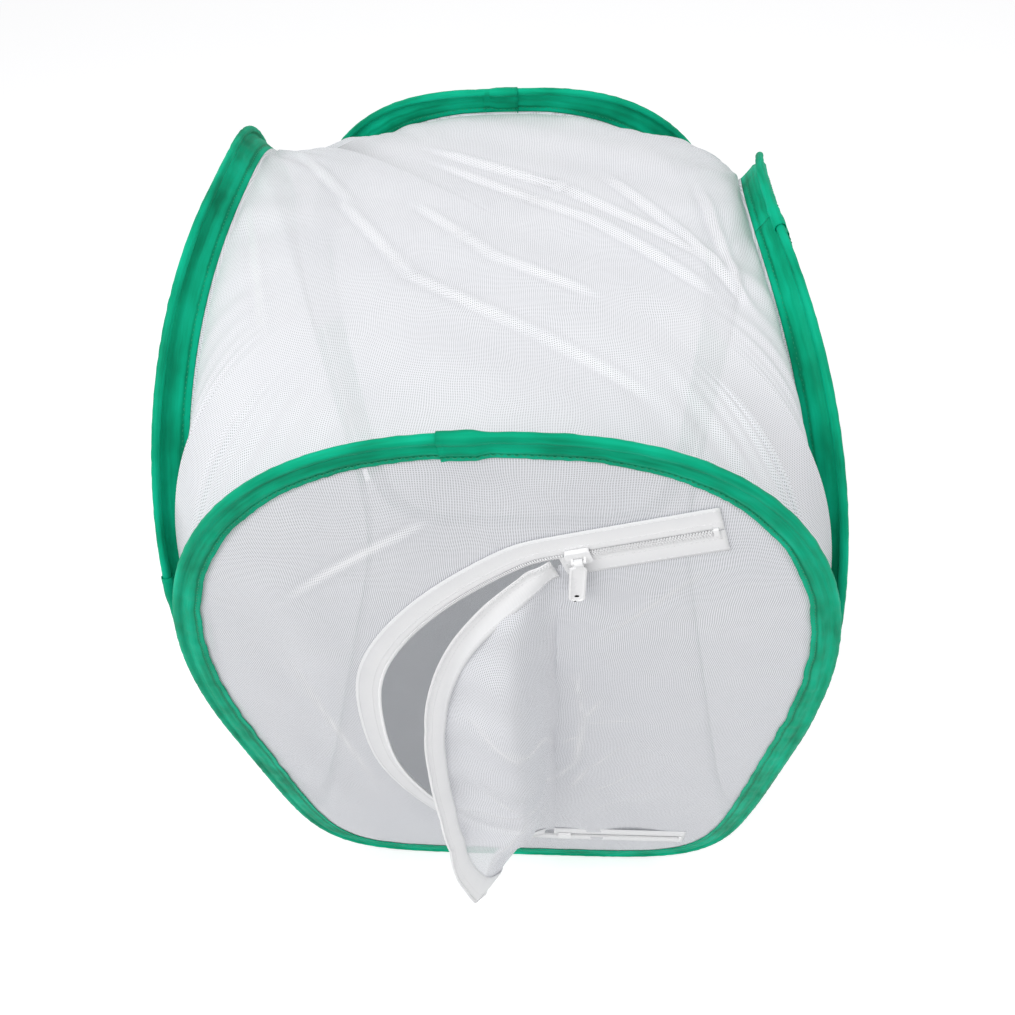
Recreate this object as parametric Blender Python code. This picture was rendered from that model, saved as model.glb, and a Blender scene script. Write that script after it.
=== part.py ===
"""Pop-up insect cage: four sprung wire hoops in sewn bindings, netting between them, a zipped door."""

import math
from collections import namedtuple

import bmesh
import bpy
import numpy as np
from mathutils import Matrix

for old_object in list(bpy.data.objects):
    bpy.data.objects.remove(old_object)

# Overall sizes of the cage, in metres
CAGE_SPAN = 0.400
WIDEST_HEIGHT = 0.2967
FRONT_HEIGHT = 0.620
RIGHT_HEIGHT = 0.590
BACK_HEIGHT = 0.594
LEFT_HEIGHT = 0.602

# How far the top of each hoop leans inwards, and how far it shifts along its own side
RIGHT_LEAN = 0.0448
BACK_LEAN = 0.0560
LEFT_LEAN = 0.0299
FRONT_SHIFT = 0.0070
RIGHT_SHIFT = 0.0299
BACK_SHIFT = 0.0040
LEFT_SHIFT = -0.0353

# A hoop is two half superellipses, rounder above its widest height than below it. The right hoop
# falls away sooner on its rear shoulder
UPPER_EXPONENT = 2.45
LOWER_EXPONENT = 5.2
RIGHT_SHOULDER_EXPONENT = 1.95
APEX_ROUNDING_SHARE = 0.65

# Sprung wire, its crimped ferrule and the binding folded round both
WIRE_RADIUS = 0.0011
WIRE_END_GAP = 0.001
FERRULE_RADIUS = 0.00165
FERRULE_BORE_RADIUS = 0.0013
FERRULE_LENGTH = 0.016
TUNNEL_RADIUS = 0.0020
BINDING_CLOTH = 0.0005
HEM_WIDTH = 0.016
SEWN_WIDTH = 0.006

# Netting, and the clearance between sewn layers
NET_CLOTH = 0.0006
LAYER_GAP = 0.0003

# The top and base covers: their lap on the bindings' inner lips, how far they pass the lips' ends,
# and the share of the base that rests flat
COVER_LAP = 0.004
COVER_LEAD = 0.001
BASE_FLAT_SHARE = 0.42

# Corner seams, which sew neighbouring bindings together
CORNER_REACH = 0.0023
SEAM_RADIUS = 0.0004
SEAM_BOTTOM = 0.135
SEAM_TOP = 0.345

# The door: a D cut in the front, which bends on an upright line where its zip is closed
DOOR_HINGE_X = 0.032
DOOR_WIDTH = 0.116
DOOR_BOTTOM = 0.075
DOOR_TOP = 0.5357
UPPER_CHAIN_LENGTH = 0.076
LOWER_CHAIN_LENGTH = 0.118
UPPER_CHAIN_SLOPE = math.radians(17.7)
DOOR_STAND_OFF = 0.0009
DOOR_NET_GAP = 0.0003
DOOR_TAPE_GAP = 0.0008
DOOR_COIL_GAP = 0.0025
PANEL_NET_GAP = 0.0005
PANEL_TAPE_GAP = 0.002

# Zip tape and coils, measured from the middle of the chain
TAPE_CLOTH = 0.0005
TAPE_INNER_EDGE = 0.0020
TAPE_OUTER_EDGE = 0.0165
NET_EDGE = 0.008
COIL_INNER_EDGE = 0.00015
COIL_OUTER_EDGE = 0.0026
COIL_HEIGHT = 0.0011

# Sliders, measured along the chain from the line that the door bends on
SLIDER_START = 0.0042
SLIDER_LENGTH = 0.012
SLIDER_WIDTH = 0.009
SLIDER_WALL = 0.0009
SLIDER_CLEARANCE = 0.00035
FLANGE_WIDTH = 0.0009
POST_LENGTH = 0.0024
POST_WIDTH = 0.0024
SLIDER_CORNER = 0.0016

# The bar on each slider, and the pull tab that turns on it
BAR_THICKNESS = 0.0012
BAR_LENGTH = 0.0070
BAR_FOOT = 0.0010
BAR_LIFT = 0.0021
EYE_BORE_RADIUS = 0.00115
EYE_RADIUS = 0.00175
EYE_LENGTH = 0.0040
PULL_LENGTH = 0.034
PULL_WIDTH = 0.008
PULL_THICKNESS = 0.0011
PULL_CORNER = 0.0030
PULL_NECK = 0.0022
NECK_WIDTH = 0.0040
NECK_THICKNESS_SHARE = 0.9
PULL_HOLE_RADIUS = 0.0012
PULL_HOLE_INSET = 0.0045

# End stops of the zip
STOP_LENGTH = 0.0026
STOP_WIDTH = 0.0062
STOP_HEIGHT = 0.0015
STOP_INSET = 0.005
SLIT_END = 0.004
COIL_END_GAP = 0.0007

# Subdivision counts, and the reach of the cutters past what they cut
STATIONS = 44
TUNNEL_SEGMENTS = 6
ROUND_SIDES = 12
HEM_STEPS = 6
CORNER_STEPS = 4
BASE_FIRST = 2
ROUNDING_PASSES = 2
CORNER_CUT_SHARE = 0.25
WIRE_BEVEL_STEPS = 1
LEAF_COLUMNS = 8
COVER_RING_SHARES = (0.96, 0.86, 0.66, 0.35)
SHARP_ANGLE = math.radians(40)
ANGLE_PROBE = math.radians(2)
PROBE = 0.0015
OVERRUN = 0.01

# The door's cut from its upper to its lower end, as shares of the door's width and height
DOOR_OUTLINE_SHARES = (
    (0, 1),
    (0.112, 0.990),
    (0.323, 0.942),
    (0.517, 0.888),
    (0.716, 0.814),
    (0.871, 0.729),
    (0.950, 0.634),
    (1.000, 0.484),
    (0.990, 0.371),
    (0.900, 0.260),
    (0.790, 0.174),
    (0.660, 0.102),
    (0.480, 0.041),
    (0.250, 0.009),
    (0, 0),
)

# How the open door hangs, from the bottom up. In each row: the share of the door's height, the
# swing in degrees, the share of its flat width that it reaches, and its drop as a share of the width
DOOR_DRAPE_SHARES = (
    (0.000, 10, 1.00, 0.00),
    (0.009, 13, 1.00, 0.00),
    (0.041, 21, 1.00, 0.00),
    (0.102, 41, 1.05, 0.26),
    (0.174, 40, 1.00, 0.29),
    (0.260, 38, 0.93, 0.27),
    (0.371, 34, 0.82, 0.25),
    (0.484, 29, 0.79, 0.23),
    (0.634, 24, 0.80, 0.20),
    (0.729, 20, 0.82, 0.17),
    (0.814, 16, 0.88, 0.13),
    (0.888, 13, 0.95, 0.09),
    (0.942, 11, 0.98, 0.05),
    (0.990, 10, 0.98, 0.02),
    (1.000, 10, 0.98, 0.00),
)
DOOR_BOW_SHARE = 0.84
DROP_EXPONENT = 1.3
DOOR_LEAST_WIDTH = 0.02
DOOR_NET_START = 0.010

# Sizes that follow from those above
TUBE_RADIUS = TUNNEL_RADIUS + BINDING_CLOTH
PANEL_PLANE = CAGE_SPAN / 2 - TUBE_RADIUS
WIRE_SPAN = PANEL_PLANE - 2 * CORNER_REACH
CORNER = (PANEL_PLANE + WIRE_SPAN) / 2
HEM_EDGE = HEM_WIDTH - TUBE_RADIUS
LIP_INSIDE = NET_CLOTH / 2 + LAYER_GAP
LIP_OUTSIDE = LIP_INSIDE + BINDING_CLOTH
COVER_LEVEL = -(LIP_OUTSIDE + LAYER_GAP + NET_CLOTH / 2)
TAPE_LEVEL = LIP_INSIDE + TAPE_CLOTH / 2
TAPE_TOP = LIP_INSIDE + TAPE_CLOTH
COIL_BOTTOM = TAPE_TOP + LAYER_GAP
COIL_TOP = COIL_BOTTOM + COIL_HEIGHT
SLIDER_OUTSIDE = COIL_TOP + SLIDER_CLEARANCE + SLIDER_WALL
SLIDER_INSIDE = LIP_INSIDE - LAYER_GAP - SLIDER_WALL
DOOR_HEIGHT = DOOR_TOP - DOOR_BOTTOM

Side = namedtuple("Side", "name turn height lean shift shoulder")
FRONT = Side("front", 0, FRONT_HEIGHT, 0, FRONT_SHIFT, UPPER_EXPONENT)
RIGHT = Side("right", math.pi / 2, RIGHT_HEIGHT, RIGHT_LEAN, RIGHT_SHIFT, RIGHT_SHOULDER_EXPONENT)
BACK = Side("back", math.pi, BACK_HEIGHT, BACK_LEAN, BACK_SHIFT, UPPER_EXPONENT)
LEFT = Side("left", 3 * math.pi / 2, LEFT_HEIGHT, LEFT_LEAN, LEFT_SHIFT, UPPER_EXPONENT)
SIDES = (FRONT, RIGHT, BACK, LEFT)

# A closed stretch of zip: where it starts, its slope, the way to its frame side, and its length
Chain = namedtuple("Chain", "name height slope away length")
UPPER = Chain("upper", DOOR_TOP, UPPER_CHAIN_SLOPE, 1, UPPER_CHAIN_LENGTH)
LOWER = Chain("lower", DOOR_BOTTOM, 0, -1, LOWER_CHAIN_LENGTH)

Pivot = namedtuple("Pivot", "empty frame world")
Look = namedtuple("Look", "colour roughness metallic")
GREEN_SATIN = Look((0.007, 0.491, 0.238), 0.42, 0)
WHITE_NET = Look((0.78, 0.79, 0.82), 0.80, 0)
WHITE_TAPE = Look((0.91, 0.91, 0.92), 0.70, 0)
WHITE_COIL = Look((0.86, 0.86, 0.87), 0.40, 0)
WHITE_PAINT = Look((0.88, 0.88, 0.89), 0.35, 0)
GREEN_THREAD = Look((0.005, 0.380, 0.180), 0.60, 0)
SPRING_STEEL = Look((0.45, 0.45, 0.46), 0.35, 1)
CRIMPED_METAL = Look((0.60, 0.60, 0.61), 0.40, 1)


def finish(name, look):
    """A Principled material of its own for one sub-part."""
    material = bpy.data.materials.new(name)
    material.use_nodes = True
    shader = material.node_tree.nodes["Principled BSDF"]
    shader.inputs["Base Color"].default_value = (*look.colour, 1)
    shader.inputs["Roughness"].default_value = look.roughness
    shader.inputs["Metallic"].default_value = look.metallic
    material.diffuse_color = (*look.colour, 1)
    return material


def make_pivot(name, origin, side=FRONT, parent=None, tilt=0):
    """An empty on a joint's axis. Its origin and tilt are in the frame of one side."""
    frame = Matrix.Translation(origin) @ Matrix.Rotation(-tilt, 4, "Y")
    world = Matrix.Rotation(side.turn, 4, "Z") @ frame
    empty = bpy.data.objects.new(name, None)
    bpy.context.scene.collection.objects.link(empty)
    if parent:
        empty.parent = parent.empty
        empty.matrix_parent_inverse = parent.world.inverted()
    empty.matrix_basis = world
    return Pivot(empty, frame, world)


def add_object(name, data, look, pivot):
    """A named piece on its pivot, from a mesh or curve in the pivot's own frame."""
    data.materials.append(finish(name, look))
    piece = bpy.data.objects.new(name, data)
    piece.parent = pivot.empty
    bpy.context.scene.collection.objects.link(piece)
    return piece


def add_mesh(name, points, faces, look, pivot, cloth=0):
    """A piece from points in its side's frame. An open sheet gets a cloth thickness."""
    mesh = bpy.data.meshes.new(name)
    mesh.from_pydata([tuple(point) for point in np.reshape(points, (-1, 3))], [], faces)
    mesh.transform(pivot.frame.inverted())
    shape = bmesh.new()
    shape.from_mesh(mesh)
    bmesh.ops.recalc_face_normals(shape, faces=shape.faces)
    shape.to_mesh(mesh)
    shape.free()
    mesh.shade_smooth()
    mesh.set_sharp_from_angle(angle=SHARP_ANGLE)
    piece = add_object(name, mesh, look, pivot)
    if cloth:
        sheet = piece.modifiers.new("cloth", "SOLIDIFY")
        sheet.thickness = cloth
        sheet.offset = 0
    return piece


def combine(piece, operation, tool):
    """Cut a piece with a hidden tool, or join the tool to it."""
    tool.hide_render = True
    tool.display_type = "WIRE"
    step = piece.modifiers.new(tool.name, "BOOLEAN")
    step.operation = operation
    step.solver = "EXACT"
    step.object = tool


def grid_faces(rows, columns, closed_rows=False, closed_columns=False):
    """Quads of a grid of points that are numbered row by row."""
    faces = []
    for row in range(rows if closed_rows else rows - 1):
        after = (row + 1) % rows
        for column in range(columns if closed_columns else columns - 1):
            beside = (column + 1) % columns
            corners = ((row, column), (row, beside), (after, beside), (after, column))
            faces.append(tuple(r * columns + c for r, c in corners))
    return faces


def capped_faces(rows, columns):
    """Faces of a bar swept through sections of this many points, with both ends closed."""
    last = (rows - 1) * columns
    ends = [tuple(range(columns)), tuple(range(last, last + columns))]
    return grid_faces(rows, columns, closed_columns=True) + ends


def extruded(outline, lows, highs, place):
    """Points and faces of a prism: an outline moved from its low to its high level."""
    low_points = [place(a, b, lows) for a, b in outline]
    high_points = [place(a, b, highs) for a, b in outline]
    return np.array(low_points + high_points), capped_faces(2, len(outline))


def hoop_outline(side, angles):
    """Across and up places of the wire's centre line, anticlockwise from the widest point."""
    sine = np.sin(angles)
    cosine = np.cos(angles)
    upper_reach = side.height - TUBE_RADIUS - WIDEST_HEIGHT
    lower_reach = WIDEST_HEIGHT - TUBE_RADIUS
    upper_exponent = np.where(cosine > 0, side.shoulder, UPPER_EXPONENT)
    exponent = np.where(sine > 0, upper_exponent, LOWER_EXPONENT)
    rise = np.sign(sine) * np.abs(sine) ** (2 / exponent)
    width = np.sign(cosine) * np.abs(cosine) ** (2 / exponent)
    up = WIDEST_HEIGHT + np.where(sine > 0, upper_reach, lower_reach) * rise
    across = WIRE_SPAN * width + side.shift * np.clip(rise, 0, 1) ** 2
    return np.stack([across, up], axis=-1)


def softened(width):
    """A hoop's width share with its peak rounded off, still 0 at the apex and 1 at the widest."""
    rounded = np.hypot(width, APEX_ROUNDING_SHARE) - APEX_ROUNDING_SHARE
    return rounded / (math.hypot(1, APEX_ROUNDING_SHARE) - APEX_ROUNDING_SHARE)


def panel_depth(side, up):
    """Distance of a panel from the cage's middle plane at these heights."""
    reach = side.height - TUBE_RADIUS - WIDEST_HEIGHT
    rise = np.clip((up - WIDEST_HEIGHT) / reach, 0, 1)
    width = (1 - rise**UPPER_EXPONENT) ** (1 / UPPER_EXPONENT)
    return PANEL_PLANE - side.lean * (1 - softened(width))


def panel_slope(side, up):
    """How fast the panel's depth changes with height."""
    return (panel_depth(side, up + PROBE) - panel_depth(side, up - PROBE)) / (2 * PROBE)


def on_panel(side, places, outward=0):
    """Points on a panel at these across and up places, moved outward along its normal."""
    up = places[..., 1]
    slope = panel_slope(side, up)
    lift = outward / np.hypot(1, slope)
    return np.stack([places[..., 0], -panel_depth(side, up) - lift, up - slope * lift], axis=-1)


def hem_rays(side, angles):
    """Places on the wire, and the way in from each one in the panel's flat frame."""
    along = hoop_outline(side, angles + ANGLE_PROBE) - hoop_outline(side, angles - ANGLE_PROBE)
    inward = np.stack([-along[:, 1], along[:, 0]], axis=-1)
    return hoop_outline(side, angles), inward / np.linalg.norm(inward, axis=1, keepdims=True)


def hem_places(side, angles, distance):
    """Places this far in from the wire, measured along the cloth."""
    places, inward = hem_rays(side, angles)
    for _ in range(HEM_STEPS):
        stretch = np.hypot(1, inward[:, 1] * panel_slope(side, places[:, 1]))
        places = places + inward * (distance / HEM_STEPS / stretch)[:, None]
    return places


def round_wire(side, angles, radius, turn):
    """Points round the wire. At turn 0 they face out of the hoop, at a quarter out of the panel."""
    places, inward = hem_rays(side, angles)
    slope = panel_slope(side, places[:, 1])
    hem_way = np.stack([inward[:, 0], -slope * inward[:, 1], inward[:, 1]], axis=-1)
    hem_way = hem_way / np.linalg.norm(hem_way, axis=1, keepdims=True)
    normal = np.stack([0 * slope, -1 + 0 * slope, -slope], axis=-1)
    normal = normal / np.linalg.norm(normal, axis=1, keepdims=True)
    return on_panel(side, places) + radius * (math.sin(turn) * normal - math.cos(turn) * hem_way)


def station_angles(first=0, last=STATIONS):
    """The hoop's stations, counted anticlockwise from its widest point on the right."""
    return np.arange(first, last) * 2 * math.pi / STATIONS


def add_wire(side, pivot):
    """One length of sprung wire, its two ends meeting at the middle of the bottom."""
    quarter = STATIONS // 4
    angles = station_angles(1 - quarter, STATIONS - quarter)
    arch = on_panel(side, hoop_outline(side, angles))
    level = [(WIRE_END_GAP / 2, TUBE_RADIUS), (FERRULE_LENGTH, TUBE_RADIUS)]
    right = on_panel(side, np.array(level))
    left = right[::-1] * (-1, 1, 1)
    curve = bpy.data.curves.new(f"{side.name}_wire", "CURVE")
    curve.dimensions = "3D"
    curve.bevel_depth = WIRE_RADIUS
    curve.bevel_resolution = WIRE_BEVEL_STEPS
    curve.use_fill_caps = True
    spline = curve.splines.new("POLY")
    route = np.concatenate([right, arch, left])
    spline.points.add(len(route) - 1)
    for point, place in zip(spline.points, route):
        point.co = (*place, 1)
    curve.transform(pivot.frame.inverted())
    add_object(f"{side.name}_wire", curve, SPRING_STEEL, pivot)


def add_ferrule(side, pivot):
    """The short tube crimped over both ends of the wire."""
    half = FERRULE_LENGTH / 2
    profile = (
        (-half, FERRULE_BORE_RADIUS),
        (-half, FERRULE_RADIUS),
        (half, FERRULE_RADIUS),
        (half, FERRULE_BORE_RADIUS),
    )
    points = []
    for step in range(ROUND_SIDES):
        turn = 2 * math.pi * step / ROUND_SIDES
        for along, radius in profile:
            depth = -PANEL_PLANE + radius * math.cos(turn)
            points.append((along, depth, TUBE_RADIUS + radius * math.sin(turn)))
    faces = grid_faces(ROUND_SIDES, len(profile), True, True)
    add_mesh(f"{side.name}_ferrule", points, faces, CRIMPED_METAL, pivot)


def add_binding(side, pivot):
    """A strip of satin folded round the wire, its two lips sewn either side of the netting."""
    angles = station_angles()
    loops = []
    for radius, lip in ((TUBE_RADIUS, LIP_OUTSIDE), (-TUNNEL_RADIUS, -LIP_INSIDE)):
        neck = math.pi - math.asin(lip / radius)
        turns = np.linspace(neck, -neck, TUNNEL_SEGMENTS + 1) * math.copysign(1, radius)
        end = on_panel(side, hem_places(side, angles, HEM_EDGE), lip)
        middle = on_panel(side, hem_places(side, angles, HEM_EDGE - SEWN_WIDTH), lip)
        tube = [round_wire(side, angles, abs(radius), turn) for turn in turns]
        far_middle = on_panel(side, hem_places(side, angles, HEM_EDGE - SEWN_WIDTH), -lip)
        far_end = on_panel(side, hem_places(side, angles, HEM_EDGE), -lip)
        loops += [end, middle, *tube, far_middle, far_end]
    points = np.stack(loops, axis=1)
    faces = grid_faces(STATIONS, len(loops), True, True)
    add_mesh(f"{side.name}_binding", points, faces, GREEN_SATIN, pivot)


def add_net(side, pivot):
    """The side's netting: a sewn edge that follows the binding, and rows across the middle."""
    angles = station_angles()
    edge = hem_places(side, angles, HEM_EDGE - SEWN_WIDTH)
    inner = hem_places(side, angles, HEM_EDGE)
    faces = grid_faces(2, STATIONS, closed_columns=True)
    quarter = STATIONS // 4
    for step in range(-quarter, quarter):
        row = (step, step + 1, STATIONS // 2 - step - 1, STATIONS // 2 - step)
        corners = dict.fromkeys(STATIONS + station % STATIONS for station in row)
        faces.append(tuple(corners))
    points = on_panel(side, np.concatenate([edge, inner]))
    return add_mesh(f"{side.name}_net", points, faces, WHITE_NET, pivot, NET_CLOTH)


def turned(points, side):
    """Points of one side's frame in the cage's frame."""
    rotation = np.array(Matrix.Rotation(side.turn, 3, "Z"))
    return points @ rotation.T


def top_height(across, back):
    """Height of the top netting at these shares of the cage's half width and half depth."""
    weights = (
        (1 - across**2) * (1 - back),
        (1 - back**2) * (1 + across),
        (1 - across**2) * (1 + back),
        (1 - back**2) * (1 - across),
    )
    crown = sum(weight * side.height for weight, side in zip(weights, SIDES)) / sum(weights)
    arch = (1 - np.abs(across * back) ** UPPER_EXPONENT) ** (1 / UPPER_EXPONENT)
    return WIDEST_HEIGHT + (crown - HEM_WIDTH - WIDEST_HEIGHT) * arch


def base_height(across, back):
    """Height of the base netting: flat on the floor, turned up towards its four corners."""
    corner = np.clip((np.abs(across * back) - BASE_FLAT_SHARE) / (1 - BASE_FLAT_SHARE), 0, 1)
    arch = (1 - corner**LOWER_EXPONENT) ** (1 / LOWER_EXPONENT)
    return WIDEST_HEIGHT - (WIDEST_HEIGHT - NET_CLOTH / 2) * arch


def add_cover(name, stations, exponent, height, pivot):
    """Top or base netting: lapped on the bindings' inner lips, then drawn in to its middle."""
    angles = stations * 2 * math.pi / STATIONS
    width = np.sign(np.cos(angles)) * np.abs(np.cos(angles)) ** (2 / exponent)
    flat = np.stack([width, -1 + 0 * width, 0 * width], axis=-1)
    across, back, _ = np.concatenate([turned(flat, side) for side in SIDES]).T
    rims = []
    for side in SIDES:
        reaches = (HEM_EDGE - COVER_LAP, HEM_EDGE + COVER_LEAD)
        places = [hem_places(side, angles, reach) for reach in reaches]
        rims.append(turned(on_panel(side, np.stack(places), COVER_LEVEL), side))
    rings = list(np.concatenate(rims, axis=1))
    edge = rings[-1]
    middle = edge.mean(axis=0)
    middle[2] = height(0, 0)
    for share in COVER_RING_SHARES:
        ring = middle + share * (edge - middle)
        ring[:, 2] = height(share * across, share * back)
        rings.append(ring)
    points = [point for ring in rings for point in ring] + [middle]
    columns = len(angles) * len(SIDES)
    faces = grid_faces(len(rings), columns, closed_columns=True)
    last = (len(rings) - 1) * columns
    for column in range(columns):
        faces.append((last + column, last + (column + 1) % columns, len(points) - 1))
    add_mesh(name, points, faces, WHITE_NET, pivot, NET_CLOTH)


def circle(radius):
    """Places round a circle in a plane."""
    turns = 2 * math.pi * np.arange(ROUND_SIDES) / ROUND_SIDES
    return [(radius * math.cos(turn), radius * math.sin(turn)) for turn in turns]


def rounded_box(low, high, radius):
    """A rectangle in a plane from its low to its high corner, with rounded corners."""
    outline = []
    corners = (
        (high[0] - radius, high[1] - radius, 0),
        (low[0] + radius, high[1] - radius, 1),
        (low[0] + radius, low[1] + radius, 2),
        (high[0] - radius, low[1] + radius, 3),
    )
    for middle_x, middle_y, quarter in corners:
        for step in range(CORNER_STEPS + 1):
            turn = (quarter + step / CORNER_STEPS) * math.pi / 2
            place = (middle_x + radius * math.cos(turn), middle_y + radius * math.sin(turn))
            outline.append(place)
    return outline


def add_seam(name, across, back, pivot):
    """A bead of thread down a corner, which neighbouring bindings are sewn together with."""
    points, faces = extruded(
        circle(SEAM_RADIUS), SEAM_BOTTOM, SEAM_TOP, lambda a, b, up: (across + a, back + b, up)
    )
    add_mesh(name, points, faces, GREEN_THREAD, pivot)


def rounded_path(corners):
    """A path with each corner cut off at the same share of both its sides, a few times."""
    for _ in range(ROUNDING_PASSES):
        starts = corners[:-1]
        steps = CORNER_CUT_SHARE * (corners[1:] - starts)
        cuts = np.stack([starts + steps, corners[1:] - steps], axis=1)
        inner = cuts.reshape(-1, 2)[1:-1]
        corners = np.concatenate([corners[:1], inner, corners[-1:]])
    return corners


def door_cut(hinge_gap=0):
    """Places along the door's cut, in the front's flat frame, from its upper to its lower end."""
    scale = (-DOOR_WIDTH, DOOR_HEIGHT)
    path = rounded_path(np.array(DOOR_OUTLINE_SHARES) * scale + (DOOR_HINGE_X, DOOR_BOTTOM))
    return path[path[:, 0] <= DOOR_HINGE_X - hinge_gap]


def chain_places(chain, along, across):
    """Places in the front's flat frame, along a closed chain and across it to its frame side."""
    cosine = math.cos(chain.slope)
    sine = math.sin(chain.slope)
    x = DOOR_HINGE_X + along * cosine - chain.away * across * sine
    return np.array([x, chain.height + along * sine + chain.away * across * cosine])


def zip_path(upper_reach, lower_reach):
    """The door's cut with the closed chains at its ends, to these distances along them."""
    upper_end = chain_places(UPPER, upper_reach, 0)
    lower_end = chain_places(LOWER, lower_reach, 0)
    return np.array([upper_end, *door_cut(), lower_end])


def beside(path, distance):
    """The places this far to the frame side of a path."""
    steps = np.diff(path, axis=0)
    normals = np.stack([steps[:, 1], -steps[:, 0]], axis=-1)
    normals = normals / np.linalg.norm(normals, axis=1, keepdims=True)
    before = np.concatenate([normals[:1], normals])
    after = np.concatenate([normals, normals[-1:]])
    miter = (before + after) / (1 + np.sum(before * after, axis=1, keepdims=True))
    return path + distance * miter


def flat_front(places, outward):
    """Points on the flat front at these places, this far outward."""
    depth = np.full(places.shape[:-1], -PANEL_PLANE - outward)
    return np.stack([places[..., 0], depth, places[..., 1]], axis=-1)


def hang(places):
    """Points of the open door's middle surface, from their places while it is closed and flat."""
    heights, swings, reaches, drops = np.array(DOOR_DRAPE_SHARES).T
    outline = np.array(DOOR_OUTLINE_SHARES)[::-1]
    share = (places[..., 1] - DOOR_BOTTOM) / DOOR_HEIGHT
    width = np.interp(share, outline[:, 1], outline[:, 0]) * DOOR_WIDTH
    width = np.maximum(width, DOOR_LEAST_WIDTH)
    swing = np.radians(np.interp(share, heights, swings))
    reach = np.interp(share, heights, reaches)
    drop = np.interp(share, heights, drops) * DOOR_WIDTH
    radius = DOOR_HINGE_X - places[..., 0]
    part = np.maximum(radius / width, 0)
    bowed = np.clip(part / DOOR_BOW_SHARE, 0, 1)
    slack = np.sqrt(np.maximum(1 / reach - 1, 0))
    bow = 2 / math.pi * reach * width * slack * np.sin(math.pi * bowed) ** 2
    lift = bow - DOOR_STAND_OFF
    x = DOOR_HINGE_X - reach * radius * np.cos(swing) + lift * np.sin(swing)
    outward = DOOR_STAND_OFF + reach * radius * np.sin(swing) + lift * np.cos(swing)
    up = places[..., 1] - drop * part**DROP_EXPONENT
    return np.stack([x, -PANEL_PLANE - outward, up], axis=-1)


def on_door(places, outward):
    """Points of the open door at these places, moved outward along its surface's normal."""
    across = hang(places - (PROBE, 0)) - hang(places + (PROBE, 0))
    upward = hang(places + (0, PROBE)) - hang(places - (0, PROBE))
    normal = np.cross(upward, across)
    normal = normal / np.linalg.norm(normal, axis=-1, keepdims=True)
    return hang(places) + outward * normal


def add_strip(name, places, level, place, look, pivot):
    """A tape: lines of places side by side, laid at one level on the front or on the door."""
    points = place(np.array(places), level)
    faces = grid_faces(*points.shape[:2])
    return add_mesh(name, points, faces, look, pivot, TAPE_CLOTH)


def add_coil(name, path, way, place, pivot):
    """One half of the open zip's coil, as a square bar beside the cut."""
    near = beside(path, way * COIL_INNER_EDGE)
    far = beside(path, way * COIL_OUTER_EDGE)
    low = COIL_BOTTOM
    high = COIL_TOP
    section = [place(near, low), place(far, low), place(far, high), place(near, high)]
    points = np.stack(section, axis=1)
    add_mesh(name, points, capped_faces(len(path), len(section)), WHITE_COIL, pivot)


def add_door(pivot):
    """The door's netting: one row from the hinge line to each place on its free edge."""
    path = door_cut()
    rim = beside(path, -NET_EDGE)
    seam = beside(path, -TAPE_OUTER_EDGE)
    kept = DOOR_HINGE_X - path[:, 0] > DOOR_NET_START
    rim = rim[kept]
    seam = seam[kept]
    columns = [rim, seam]
    for step in range(1, LEAF_COLUMNS + 1):
        share = step / LEAF_COLUMNS
        across = seam[:, 0] + share * (DOOR_HINGE_X - DOOR_NET_GAP - seam[:, 0])
        columns.append(np.stack([across, seam[:, 1]], axis=-1))
    points = on_door(np.stack(columns, axis=1), 0)
    faces = grid_faces(*points.shape[:2])
    add_mesh("door_leaf", points, faces, WHITE_NET, pivot, NET_CLOTH)


def cut_door_out(net, pivot):
    """Cut the front's netting away behind the door and behind the closed chains."""
    slit = beside(zip_path(UPPER.length - SLIT_END, LOWER.length - SLIT_END), NET_EDGE)
    way_in = (LOWER, UPPER)
    inner = []
    for chain, order in zip(way_in, (1, -1)):
        hinge = (PANEL_NET_GAP - NET_EDGE * math.sin(chain.slope)) / math.cos(chain.slope)
        ends = [
            chain_places(chain, chain.length - SLIT_END, -NET_EDGE),
            chain_places(chain, hinge, -NET_EDGE),
        ]
        inner += ends[::order]
    outline = [*slit, *inner]
    points, faces = extruded(
        outline, -PANEL_PLANE - OVERRUN, -PANEL_PLANE + OVERRUN, lambda x, up, y: (x, y, up)
    )
    combine(net, "DIFFERENCE", add_mesh("door_opening", points, faces, WHITE_NET, pivot))


def add_closed_zip(chain, pivot):
    """A closed stretch of zip: the tape on the door's side, the joined coils and an end stop."""
    lines = []
    for across in (-TAPE_INNER_EDGE, -TAPE_OUTER_EDGE):
        start = (PANEL_TAPE_GAP + across * math.sin(chain.slope)) / math.cos(chain.slope)
        lines.append([chain_places(chain, along, across) for along in (start, chain.length)])
    name = f"{chain.name}_leaf_tape"
    add_strip(name, lines, TAPE_LEVEL, flat_front, WHITE_TAPE, pivot)

    def place(along, across, level):
        return flat_front(chain_places(chain, along, across), level)

    stop_start = chain.length - STOP_INSET
    chain_start = SLIDER_START + POST_LENGTH + LAYER_GAP
    chain_end = stop_start - LAYER_GAP
    half = COIL_OUTER_EDGE
    box = [(chain_start, -half), (chain_end, -half), (chain_end, half), (chain_start, half)]
    points, faces = extruded(box, COIL_BOTTOM, COIL_TOP, place)
    add_mesh(f"{chain.name}_chain", points, faces, WHITE_COIL, pivot)
    half = STOP_WIDTH / 2
    stop_end = stop_start + STOP_LENGTH
    box = [(stop_start, -half), (stop_end, -half), (stop_end, half), (stop_start, half)]
    points, faces = extruded(box, COIL_BOTTOM, COIL_BOTTOM + STOP_HEIGHT, place)
    add_mesh(f"{chain.name}_stop", points, faces, WHITE_PAINT, pivot)


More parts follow.
